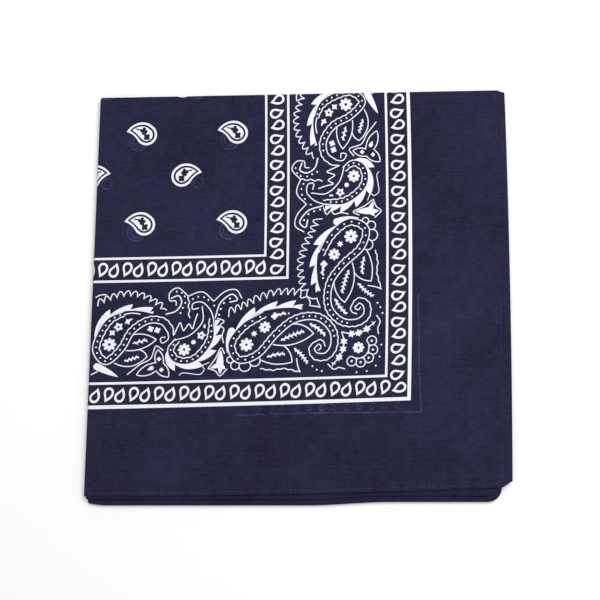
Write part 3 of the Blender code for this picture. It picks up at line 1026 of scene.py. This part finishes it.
    def draw_high_paisley(self, art: Drawing) -> None:
        """The highest paisley: a ribbon that folds over itself and ends in a hook and large teeth."""
        side = [(49, 213), (58, 209), (64.5, 202), (67, 192), (66.5, 183), (64.5, 175)]
        art.fill(crest(side, (18.5, 13.5, 13, 3.5), 4.4, 0.15), drop((29, 210.5), (21.5, 196), 2.3, 0, 0.9))
        art.line(bow((23.5, 214), (25.5, 210)))
        body = [(65, 194.5), (60.5, 203.5), (50.5, 209.5), (40, 211.5), (32.5, 204.5), (41, 195)]
        body += [(53, 188.5), (60, 178), (59, 168), (52.5, 162.5)]
        hook = [(46.5, 164), (44, 168), (47.5, 169), (48, 166)]
        teeth = [(49, 160.5), (58, 156.5), (52, 154), (57, 150.5), (53, 148), (59, 146.5), (63.5, 145)]
        art.ribbon(body, 2.3, (0.65, 1), (2.4, 3.9, 4.4, 22), hook, teeth)
        small_teeth = toothed([(71, 212), (75, 202), (77, 193), (75, 182), (68, 170)], 4, 10)
        art.line(bow((64.5, 183.5), (64.5, 194), -0.08), small_teeth)
        art.line(bow((68, 170), (67, 166), 0.1), bow((78.5, 206.5), (77, 213.5), -0.12))

    def draw_high_inside(self, art: Drawing) -> None:
        """What fills the highest paisley: flowers, two clovers and two leaves."""
        art.flower(rosette((44, 203), 4.6, 8), 1)
        art.flower(star((56, 197.5), 3.4, 5, 0.62, 0.4), 0.8)
        art.fill(star((52, 201.5), 2.6, 4, 0.5, 0.8), star((59.5, 191.5), 2.3, 4, 0.55, 0.5))
        art.fill(drop((60.5, 190.5), (61.5, 188), 0.75))
        vein = feather([(44, 187.5), (45.5, 182.5), (46.5, 178)], 4.2, 3, 0.45)
        art.leaf((46.5, 172), ((50.5, 187), 0.11), ((39.5, 191.5), -0.12), vein)
        vein = feather([(32, 192.5), (33.5, 188), (35, 183)], 3.8, 4)
        art.leaf((35, 177.5), ((40, 183.5), 0.13), ((31, 199), -0.2), vein)
        art.fill(*(rosette(centre, 2.2, 4, 0.55, 0.4) for centre in ((54, 176), (53, 171.5))))

    def draw_corner(self, art: Drawing) -> None:
        """The corner itself: a garland, a flower in a fan of ringed petals, dots and short wavy lines."""
        tip = (71, 71.5)
        others = [(66.5, 69.5), (64, 70), (63, 67), (61.5, 63.5), (66, 64.5), (69, 65), (68.5, 67.5)]
        art.closed_line(lobed([tip, *others], 0.05))
        art.line(*(bow(tooth_end, tip, 0.1) for tooth_end in ((70, 76), (75, 70.5))))
        garland = np.array([(46.5, 46.5), (40, 45), (35, 45.5), (29.5, 48), (25, 52)])
        for arm, twist in ((garland, 0.2), (garland[:, ::-1], 0.6)):
            art.arcs(arm)
            art.fill(*(star(place, 2.8, 6, 0.55, twist) for place in arm[1:4]))
            art.fill(star(arm[-1], 2.1, 3, 0.25, twist + 0.3))
        middle = (35, 35.5)
        petals = around(middle, 10, np.radians(np.linspace(154, 296, 5)))
        for centre in petals:
            art.ring(disc(centre, 3.6, 20), disc(centre, 2.9, 16))
        art.fill(disc(middle, 7.2, 24), ink=Ink.CLOTH)
        art.line(around(middle, 7.2, np.radians(np.linspace(140, 306, 20))))
        art.spots(*petals, radius=0.8)
        art.flower(rosette(middle, 3.9, 8, 0.3), 0.8)
        art.spots((19.5, 37), (20.5, 29), (23, 23), (29, 19.5), (36, 19))
        art.spots((22.5, 65.5), (20.5, 62.5), (19, 58.5), (66, 24), (63, 21.5), (59.5, 20.5))
        art.arcs([(23, 57), (20.5, 53), (22, 48.5), (21.5, 44.5)])
        art.arcs([(55.5, 25), (51.5, 21.5), (48, 22.5), (44, 21.5)])


@dataclass(frozen=True)
class Chain:
    """Where the beads of a chain lie, down the upright and the lower arm of its frame."""

    middle: float
    upright_first: float
    upright_pitch: float
    lower_first: float
    lower_pitch: float
    count: int
    corner_outward: bool


@dataclass(frozen=True)
class ScreenPrint:
    """The white print: frames with chains of beads, a border of paisleys, and a field of small ones.

    The screen was not quite square to the cloth, and the cloth was pulled a little as it was folded. So the
    print leans, bows and spreads by a few millimetres over a span of 200.
    """

    corner: Pair = (74.75, -70.15)
    span: float = 200.0
    lean: Pair = (0.85, -5.6)
    bowing: Pair = (4.5, -1.45)
    bowing_end: float = 1.05  # share of the span at which a bow is back at nothing
    spread: Pair = (4.2, 1.2)
    lower_start: Pair = (-1.0, 0.5)
    lower_stretch: float = 2.6
    lower_slope: float = -1.4
    lower_widening: float = 0.02
    lower_narrowing: float = -0.046
    narrow_from: float = 67.5
    narrow_in: float = 40.0
    reach: float = 224.0
    step: float = 2.5
    outer_lines: tuple[Pair, Pair] = ((0.0, 2.4), (15.8, 1.6))
    inner_lines: tuple[Pair, Pair] = ((84.5, 1.6), (100.0, 1.5))
    bead_radius: float = 3.45
    bead_hollow: float = 2.0
    hollow_ends: Pair = (0.1, 2.5)  # distances of the hollow's head and tip from the bead's own
    bead_length: float = 7.1
    bead_bend: float = 0.06
    bead_blunt: float = 1.35
    outward: Pair = (6.3, -2.2)
    inward: Pair = (-6.5, 2.7)
    corner_bead: Pair = (-0.9, -0.5)  # how far the bead in the corner lies off its place in the chain
    first_paisley: Pair = (134.2, 125.8)
    next_paisley: Pair = (144.8, 158.8)
    step_left: float = 63.7
    step_up: float = 62.0

    def on_cloth(self, points: Array) -> Array:
        """Plan points of the cloth from print coordinates."""
        left, up = points[:, 0], points[:, 1]
        u, t = left / self.span, up / self.span
        bow_x, bow_y = self.bowing[0] * t * (self.bowing_end - t), self.bowing[1] * u * (self.bowing_end - u)
        x = self.corner[0] - left + self.lean[0] * t + bow_x + self.spread[0] * t * u
        y = self.corner[1] + up + self.lean[1] * u + bow_y + self.spread[1] * t * u
        return np.column_stack([x, y])

    def on_lower_arm(self, points: Array) -> Array:
        """Print coordinates of the lower arm from those of the upright one: mirrored, and pulled a little
        wider by the corner, and narrower and longer away from it."""
        across, along = points[:, 0], points[:, 1]
        share = along / self.span
        far = smooth_step((along - self.narrow_from) / self.narrow_in)
        left = along + self.lower_start[0] + self.lower_stretch * share**2
        width = 1.0 + self.lower_widening + self.lower_narrowing * far
        return np.column_stack([left, across * width + self.lower_start[1] + self.lower_slope * share])

    def corner_band(self, near: float, far: float) -> Array:
        """Outline of an L-shaped band between two distances from the corner's two sides."""
        out, back = np.arange(near, self.reach, self.step), np.arange(far, self.reach, self.step)
        upright = np.column_stack([np.full(len(out), near), out])[::-1]
        upright_back = np.column_stack([np.full(len(back), far), back])
        return np.vstack([upright, upright[-2::-1, ::-1], upright_back[::-1, ::-1], upright_back[1:]])

    def draw_frames(self, art: Drawing) -> None:
        """The two pairs of frame lines, and the dark ground between them."""
        for lines in (self.outer_lines, self.inner_lines):
            art.fill(self.corner_band(lines[0][0], lines[1][0]), ink=Ink.CHAIN)
            art.fill(*(self.corner_band(middle - width / 2, middle + width / 2) for middle, width in lines))

    def draw_bead(self, art: Drawing, middle: Pair, way: Pair) -> None:
        """One bead of a chain: the outline of a drop, round at one end, that points along its way."""
        way = unit(np.array(way))
        head = middle - way * (self.bead_length - self.bead_radius) / 2
        tip = head + way * self.bead_length
        bend = self.bead_bend if way[0] < way[1] else -self.bead_bend
        hollow_head, hollow_tip = head + way * self.hollow_ends[0], tip - way * self.hollow_ends[1]
        hollow = drop(hollow_head, hollow_tip, self.bead_hollow, bend, self.bead_blunt)
        art.ring(drop(head, tip, self.bead_radius, bend, self.bead_blunt), hollow, Ink.CHAIN)

    def draw_chain(self, art: Drawing, chain: Chain) -> None:
        """A chain of beads down both bands of a frame, tips to and fro, with one bead in the corner."""
        ways = (self.inward, self.outward) if chain.corner_outward else (self.outward, self.inward)
        before_first = np.array([chain.middle, chain.upright_first - chain.upright_pitch])
        self.draw_bead(art, before_first + self.corner_bead, ways[1])
        for order in range(chain.count):
            way = ways[order % 2]
            self.draw_bead(art, (chain.middle, chain.upright_first + order * chain.upright_pitch), way)
            self.draw_bead(art, (chain.lower_first + order * chain.lower_pitch, chain.middle), way[::-1])

    def draw_small_paisley(self, art: Drawing, left: float, up: float, way: float) -> None:
        """A small paisley of the field: a white ring, a dark ring and a white heart with a dark sprig.

        Args:
            art: where it is drawn.
            left, up: place of its tip.
            way: 1 where the tip points to the left, and -1 where it points to the right.
        """
        local = art.seen_by(lambda points: points * (way, 1) + (left, up))
        spine = [(-14, -3, 7.3), (-11.5, -1.2, 7.1), (-8, 0, 5.6), (-4, 0.2, 3), (0, -0.6, 0)]
        local.ring(swept(spine), swept(spine, 1.6))
        local.fill(swept(spine, 3))
        sprig = [(-7, 1), (-12, -0.4), (-14.2, -4.6)]
        local.line(curve(sprig), width=0.9, ink=Ink.CLOTH)
        local.fill(rosette(sprig[1], 2.7, 4, 0.45, 0.2), rosette(sprig[2], 2.5, 4, 0.45, 0.8), ink=Ink.CLOTH)

    def small_paisleys(self) -> list[tuple[float, float, float]]:
        """Tip and way of each small paisley: each second row is half a step on and faces the other way."""
        places = []
        for row, place in ((0, 0), (0, 1), (1, 0), (1, 1)):
            across, up = self.step_left * place, self.step_up * row
            for tip, way in ((self.first_paisley, 1.0), (self.next_paisley, -1.0)):
                places.append((tip[0] + across, tip[1] + up, way))
        return places

    def draw_show_through(self, art: Drawing) -> None:
        """Where the print of the quarter below shows faintly through the cloth: a line and beads outside the
        frame, and rings beside the small paisleys."""
        frame_line = [(-5.5, 70), (-6.5, 20), (-8.5, -9), (0, -9), (60, -7.5), (118, -7.5)]
        art.line(curve(frame_line, 2, 0.9), width=1.1, ink=Ink.GHOST)
        for order, along in enumerate(np.arange(8, 105, 8.5)):
            lean = 1.2 if order % 2 else -1.2
            bead = swept([(along, -4.6, 1.8), (along + lean, -1.9, 0.6)])
            art.ring(bead, swept([(along, -4.6, 1.1), (along + lean, -2.9, 0.4)]), ink=Ink.GHOST)
        for left, up, way in self.small_paisleys():
            centre = (left - 8.5, up - 8) if way > 0 else (left + 2.5, up - 7.5)
            for radius in (6.5, 4.2) if way > 0 else (4.2,):
                art.ring(disc(centre, radius, 16), disc(centre, radius - 1, 14), ink=Ink.GHOST)

    def draw(self) -> Drawing:
        """Draws the whole print."""
        art = Drawing(self.on_cloth)
        self.draw_show_through(art)
        self.draw_frames(art)
        self.draw_chain(art, Chain(8, 16.9, 8.98, 16.8, 8.5, 24, True))
        self.draw_chain(art, Chain(92.3, 100.4, 8.91, 102.6, 8.42, 15, False))
        border = PaisleyBorder()
        border.draw_arm(art)
        border.draw_arm(art.seen_by(self.on_lower_arm))
        border.draw_corner(art)
        for place in self.small_paisleys():
            self.draw_small_paisley(art, *place)
        return art


# ---------- first quarter


def inside_outline(points: Array, outline: Array) -> Array:
    """True for each point that an outline goes round: the sum of its turns about the point isn't zero."""
    a, b = outline, np.roll(outline, -1, axis=0)
    x, y = points[:, 0, None], points[:, 1, None]
    across = (b[:, 0] - a[:, 0]) * (y - a[:, 1]) - (x - a[:, 0]) * (b[:, 1] - a[:, 1])
    up = (a[:, 1] <= y) & (b[:, 1] > y) & (across > 0)
    down = (a[:, 1] > y) & (b[:, 1] <= y) & (across < 0)
    return up.sum(axis=1) != down.sum(axis=1)


def triangulate(
    edge: Array, inner: Array, shapes: list[tuple[Array, Ink]], merged_within: float = 1e-4, parts: int = 12
) -> tuple[Array, Array, Array]:
    """Triangles of the cloth, cut along the outline of every shape printed on it.

    Args:
        edge: outline of the cloth laid out flat.
        inner: further points inside it.
        shapes: outlines and inks, in the order in which they are printed.
        merged_within: distance within which two points are one.
        parts: number of parts in which the triangles are tested against the edge, to save memory.

    Returns:
        The plan points, the triangles as rows of their numbers, and the ink of each triangle.
    """
    loops = [edge] + [outline for outline, _ in shapes]
    points = np.vstack(loops + [inner])
    starts = np.cumsum([0] + [len(loop) for loop in loops])
    rings = [np.arange(start, end) for start, end in zip(starts[:-1], starts[1:])]
    sides = np.vstack([np.column_stack([ring, np.roll(ring, -1)]) for ring in rings])
    vectors = [Vector(point) for point in points.tolist()]
    result = delaunay_2d_cdt(vectors, sides.tolist(), [], 0, merged_within, False)
    plan = np.array([tuple(p) for p in result[0]])
    triangles = np.array(result[2])
    middles = plan[triangles].mean(axis=1)
    inks = np.full(len(triangles), -1)
    for part in np.array_split(np.arange(len(triangles)), parts):
        inks[part[inside_outline(middles[part], edge)]] = Ink.CLOTH
    order = np.argsort(middles[:, 0])
    sorted_x = middles[order, 0]
    for outline, ink in shapes:
        low, high = outline.min(axis=0), outline.max(axis=0)
        near = order[np.searchsorted(sorted_x, low[0]) : np.searchsorted(sorted_x, high[0])]
        near = near[(middles[near, 1] > low[1]) & (middles[near, 1] < high[1]) & (inks[near] >= 0)]
        inks[near[inside_outline(middles[near], outline)]] = ink
    triangles, inks = triangles[inks >= 0], inks[inks >= 0]
    used, flat = np.unique(triangles, return_inverse=True)
    return plan[used], flat.reshape(-1, 3), inks


ROLL = 3.77  # how much cloth lies past the start of each fold
ON_FOLD = np.linspace(-ROLL, 0.0, 9)


@dataclass(frozen=True)
class PrintedQuarter:
    """The face-up quarter of the square, from its stitch lines to the bottoms of its folds."""

    cell: float = 3.2
    near_folds: tuple[float, ...] = (0.7, 1.5, 2.6)
    flat_from: float = 4.6
    beside_hems: tuple[float, ...] = (0.35, 0.7, 1.1, 1.6, 2.3)
    beside_step: float = 3.0
    gap: float = 0.3
    edge_cells: int = 110

    def lines(self, length: float) -> Array:
        """Distances of the grid's lines from a fold: close together on it, then a cell apart."""
        return np.concatenate([ON_FOLD, self.near_folds, np.arange(self.flat_from, length, self.cell)])

    def outline(self) -> Array:
        """Outline of the cloth laid out flat, anticlockwise from the second fold's lower end."""
        across, down = (
            np.concatenate([ON_FOLD[:-1], np.linspace(0.0, length, self.edge_cells)])
            for length in (PLAN.stitches_across, PLAN.stitches_down)
        )
        back = across[-2::-1]
        turn = np.linspace(QUARTER_TURN, 0.0, len(ON_FOLD))[1:-1]
        return np.vstack(
            [
                PLAN.plan_point(across, PLAN.stitches_down),
                PLAN.plan_point(PLAN.stitches_across, down[-2::-1]),
                PLAN.plan_point(back[back >= 0.0], -ROLL),
                PLAN.plan_point(-ROLL * np.cos(turn), -ROLL * np.sin(turn)),
                PLAN.plan_point(-ROLL, down[down >= 0.0][:-1]),
            ]
        )

    def inner_points(self) -> Array:
        """Points of the flat cloth inside its outline: a grid, and rows that lie closer beside the hems."""
        grid = np.stack(np.meshgrid(self.lines(PLAN.width), self.lines(PLAN.depth)), axis=-1).reshape(-1, 2)
        rows = [grid[(grid > -ROLL + 0.01).all(axis=1)]]
        right, low = PLAN.stitches_across, PLAN.stitches_down
        for off in self.beside_hems:
            along = np.arange(1.0, low - 1.0, self.beside_step)
            rows.append(np.column_stack([np.full(len(along), right - off), along]))
            along = np.arange(1.0, right - 1.0, self.beside_step)
            rows.append(np.column_stack([along, np.full(len(along), low - off)]))
        inner = PLAN.plan_point(*np.vstack(rows).T)
        gap_right = PLAN.right_edge(inner[:, 1]) - inner[:, 0] - PLAN.hem_right
        gap_low = inner[:, 1] - PLAN.lower_edge(inner[:, 0]) - PLAN.hem_bottom
        return inner[(gap_right > self.gap) & (gap_low > self.gap)]

    def build(self, drawing: Drawing, materials: list[Material]) -> Piece:
        """Builds the quarter: plan points laid on the surface, with the surface's own normals."""
        edge, inner = self.outline(), self.inner_points()
        inner = inner[inside_outline(inner, edge)]
        plan, triangles, inks = triangulate(edge, inner, drawing.shapes)
        piece = make_piece("printed_quarter", PLAN.surface(plan), triangles.tolist(), plan, materials, inks)
        piece.data.normals_split_custom_set_from_vertices(PLAN.normals(plan).tolist())
        return dress(piece, "top_quarter")


@dataclass(frozen=True)
class TurnedHem:
    """A narrow hem, turned twice and stitched: a flat tube of cloth that starts in the stitch groove."""

    name: str
    node: str
    width: float
    wall: float = 0.95
    least_wall: float = 0.4
    step: float = 2.0
    weave_shift: Pair = (0.3, 0.4)  # so that its threads don't run on from the quarter's

    def section(self, plan: Array, at_end: Array) -> tuple[Array, Array]:
        """Plan points and lifts of a row of cross-sections.

        A section goes over the hump from the stitches to the edge, round the edge in half a circle, and
        back along the underside. Towards an end its thickness shrinks as a quarter circle does.

        Args:
            plan: for each row, plan points at even steps from the stitch line to the edge.
            at_end: for each row, its share of the full thickness.

        Returns:
            The plan points and the lifts, as grids of rows and columns.
        """
        radius = self.wall / 2
        inward = unit(plan[:, :1] - plan[:, -1:])
        reach = np.linalg.norm(plan - plan[:, -1:], axis=-1)
        over = plan[:, reach.mean(axis=0) > radius * 1.3]  # clear of the round edge
        angles = np.linspace(QUARTER_TURN, -QUARTER_TURN, 9)
        edge = plan[:, -1:] + inward * (radius * (1.0 - np.cos(angles)))[None, :, None]
        brow, over_lift = PLAN.lift(edge[:, :1]), PLAN.lift(over)
        middle = brow - radius
        under_lift = np.minimum(brow - self.wall, over_lift[:, ::-1] - self.least_wall)
        points = np.concatenate([over, edge, over[:, ::-1], over[:, :1]], axis=1)
        lifts = [over_lift, middle + radius * np.sin(angles), under_lift, over_lift[:, :1]]
        return points, middle + (np.concatenate(lifts, axis=1) - middle) * at_end

    def build(self, plan: Array, at_end: Array, cotton: Material) -> Piece:
        """Builds the tube from the plan points of its rows."""
        points, lifts = self.section(plan, at_end)
        space = PLAN.place(points, lifts)
        faces = quads(np.arange(lifts.size).reshape(lifts.shape)).tolist()
        round_it, along = lengths_along(space[len(space) // 2]), lengths_along(space[:, 0])
        unwrapped = np.stack(np.meshgrid(round_it, along), axis=-1).reshape(-1, 2)
        flat = space.reshape(-1, 3)
        cloth = flat[:, :2] + self.weave_shift
        piece = make_piece(self.name, flat, faces, cloth, [cotton], unwrapped=unwrapped)
        merge_doubles(piece)
        return dress(piece, self.node)


def build_hems(cotton: Material, columns: int = 13, end_radius: float = 0.5) -> list[Piece]:
    """Builds the right and the lower hem of the face-up quarter, each in rows along its edge."""
    share = np.linspace(0.0, 1.0, columns)
    to_end = np.array([1.2, 0.7, 0.4, 0.2, 0.07, 0.0])  # distances of the last rows from the right hem's end
    ends = np.sqrt(1.0 - (1.0 - np.minimum(to_end / end_radius, 1.0)) ** 2)

    right = TurnedHem("right_hem", "hem_right", PLAN.hem_right)
    down = np.concatenate([ON_FOLD[:-1], np.arange(0.0, PLAN.depth - 2.0, right.step), PLAN.depth - to_end])
    across, rows = np.meshgrid(PLAN.width - right.width * (1.0 - share), down)
    rows = np.where(rows > 0.0, rows * (1.0 - PLAN.hem_slant / PLAN.depth * share), rows)
    at_end = np.concatenate([np.ones(len(down) - len(ends)), ends])[:, None]
    pieces = [right.build(PLAN.plan_point(across, rows), at_end, cotton)]

    lower = TurnedHem("lower_hem", "hem_bottom", PLAN.hem_bottom)
    along = np.arange(0.0, PLAN.stitches_across, lower.step)
    along = np.concatenate([ON_FOLD[:-1], along, [PLAN.stitches_across]])
    down, across = np.meshgrid(PLAN.depth - lower.width * (1.0 - share), along)
    pieces.append(lower.build(PLAN.plan_point(across, down), np.ones((len(along), 1)), cotton))
    return pieces


@dataclass(frozen=True)
class HemStitches:
    """A row of machine stitches: short thick threads that lie in the groove beside a hem."""

    name: str
    length: float = 2.2
    pitch: float = 2.9
    thread: float = 0.42
    rise: float = 0.16
    sides: int = 6
    first: float = 1.5  # distance of the first stitch from the start of its row

    def build(self, routes: list[Array], thread: Material) -> Piece:
        """Builds the stitches along routes on the cloth.

        A stitch is a tube round a bow from its start to its end. The tube's radius is half the thread's
        times the fourth root of a half circle, so it is closed and blunt at both ends.

        Args:
            routes: for each row, points in space that it goes through.
            thread: the thread's finish.

        Returns:
            All the stitches as one piece.
        """
        starts, ends = [], []
        for route in routes:
            at = np.arange(self.first, lengths_along(route)[-1] - self.pitch, self.pitch)
            starts.append(at_distances(route, route, at))
            ends.append(at_distances(route, route, at + self.length))
        start, end = np.vstack(starts)[:, None, None], np.vstack(ends)[:, None, None]
        u = np.array([0.0, 0.06, 0.25, 0.5, 0.75, 0.94, 1.0])[None, :, None, None]
        angles = np.linspace(0.0, 2 * math.pi, self.sides + 1)[None, None, :, None]
        upward = np.array([0.0, 0.0, 1.0])
        aside = unit(np.cross(upward, end - start))
        middle = start + (end - start) * u + upward * (self.rise * arch(u))
        radius = self.thread / 2 * arch(u) ** 0.25
        points = middle + radius * (aside * np.cos(angles) + upward * np.sin(angles))
        index = np.arange(points[..., 0].size).reshape(points.shape[:3])
        faces = np.vstack([quads(stitch) for stitch in index]).tolist()
        flat = points.reshape(-1, 3)
        stitch_number, place = np.divmod(np.arange(len(flat)), index[0].size)
        unwrapped = np.column_stack([place, stitch_number])
        piece = make_piece(self.name, flat, faces, flat[:, :2], [thread], unwrapped=unwrapped)
        merge_doubles(piece, 1e-7)
        return dress(piece)


def stitch_routes() -> list[Array]:
    """Points in space along the stitch grooves of the face-up quarter's two hems."""
    right = PLAN.plan_point(PLAN.stitches_across, np.linspace(0.5, PLAN.stitches_down, 130))
    lower = PLAN.plan_point(np.linspace(0.5, PLAN.stitches_across, 130), PLAN.stitches_down)
    return [PLAN.place(plan, PLAN.lift(plan) + STITCH_LIFT) for plan in (right, lower)]


# ---------- the studio


@dataclass(frozen=True)
class Studio:
    """Plain pale floor, soft light from above, and the camera."""

    aim: tuple[float, float, float] = (1.15, -3.45, 4.6)
    distance: float = 680.0
    elevation: float = 86.0
    lens: float = 60.0
    sensor: float = 36.0
    floor_half: float = 3.0
    floor_height: float = -0.0001
    sky: float = 0.62
    lamp_place: tuple[float, float, float] = (0.5, 0.66, 1.2)
    lamp_size: float = 1.2
    lamp_power: float = 14.0

    def build(self) -> None:
        """Builds the floor, the lights and the camera."""
        scene = bpy.context.scene
        scene.view_settings.view_transform = "Standard"
        self.build_floor()

        world = bpy.data.worlds.new("studio")
        world.use_nodes = True
        world.node_tree.nodes["Background"].inputs["Color"].default_value = srgb("ffffff")
        world.node_tree.nodes["Background"].inputs["Strength"].default_value = self.sky
        scene.world = world

        light = bpy.data.lights.new("softbox", "AREA")
        light.shape, light.size, light.energy = "DISK", self.lamp_size, self.lamp_power
        lamp = add_object("softbox", light)
        lamp.location = self.lamp_place
        lamp.rotation_euler = Vector(self.lamp_place).to_track_quat("Z", "Y").to_euler()

        tilt = math.radians(90.0 - self.elevation)
        lens = bpy.data.cameras.new("camera")
        lens.lens, lens.sensor_width = self.lens, self.sensor
        back = self.distance * np.array([0.0, -math.sin(tilt), math.cos(tilt)])
        scene.camera = add_object("camera", lens)
        scene.camera.location = (self.aim + back) * MM
        scene.camera.rotation_euler = (tilt, 0.0, 0.0)

    def build_floor(self) -> None:
        """A wide sheet of matt white card."""
        half, z = self.floor_half, self.floor_height
        mesh = bpy.data.meshes.new("floor")
        corners = [(-half, -half, z), (half, -half, z), (half, half, z), (-half, half, z)]
        mesh.from_pydata(corners, [], [(0, 1, 2, 3)])
        material = bpy.data.materials.new("matt_white_card")
        material.use_nodes = True
        shader = material.node_tree.nodes["Principled BSDF"].inputs
        shader["Base Color"].default_value = srgb("fefefe")
        shader["Roughness"].default_value = 0.9
        mesh.materials.append(material)
        add_object("floor", mesh)


def main() -> None:
    logging.basicConfig(level=logging.INFO, format="%(name)s %(message)s")
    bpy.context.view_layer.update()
    Studio().build()
    cotton, reverse_in_painted_shade = NAVY_COTTON.material(), COTTON_REVERSE_IN_PAINTED_SHADE.material()
    inks = [cotton, WHITE_PRINT.material(), CHAIN_GROUND.material(), SHOW_THROUGH.material()]
    quarter = PrintedQuarter().build(ScreenPrint().draw(), inks)
    hems = build_hems(cotton)
    thread = NAVY_THREAD.material()
    hems.append(HemStitches("first_quarter_stitches").build(stitch_routes(), thread))
    layers = (SECOND_QUARTER, THIRD_QUARTER, FOURTH_QUARTER)
    for layer, rests_on in zip(layers, ([THIRD_QUARTER.name], [FOURTH_QUARTER.name], [])):
        # The layers below get the darker cotton, whose extra darkness is painted shade.
        piece = layer.build(reverse_in_painted_shade)
        stitches = HemStitches(layer.name + "_stitches").build([layer.stitch_route()], thread)


if __name__ == "__main__":
    main()
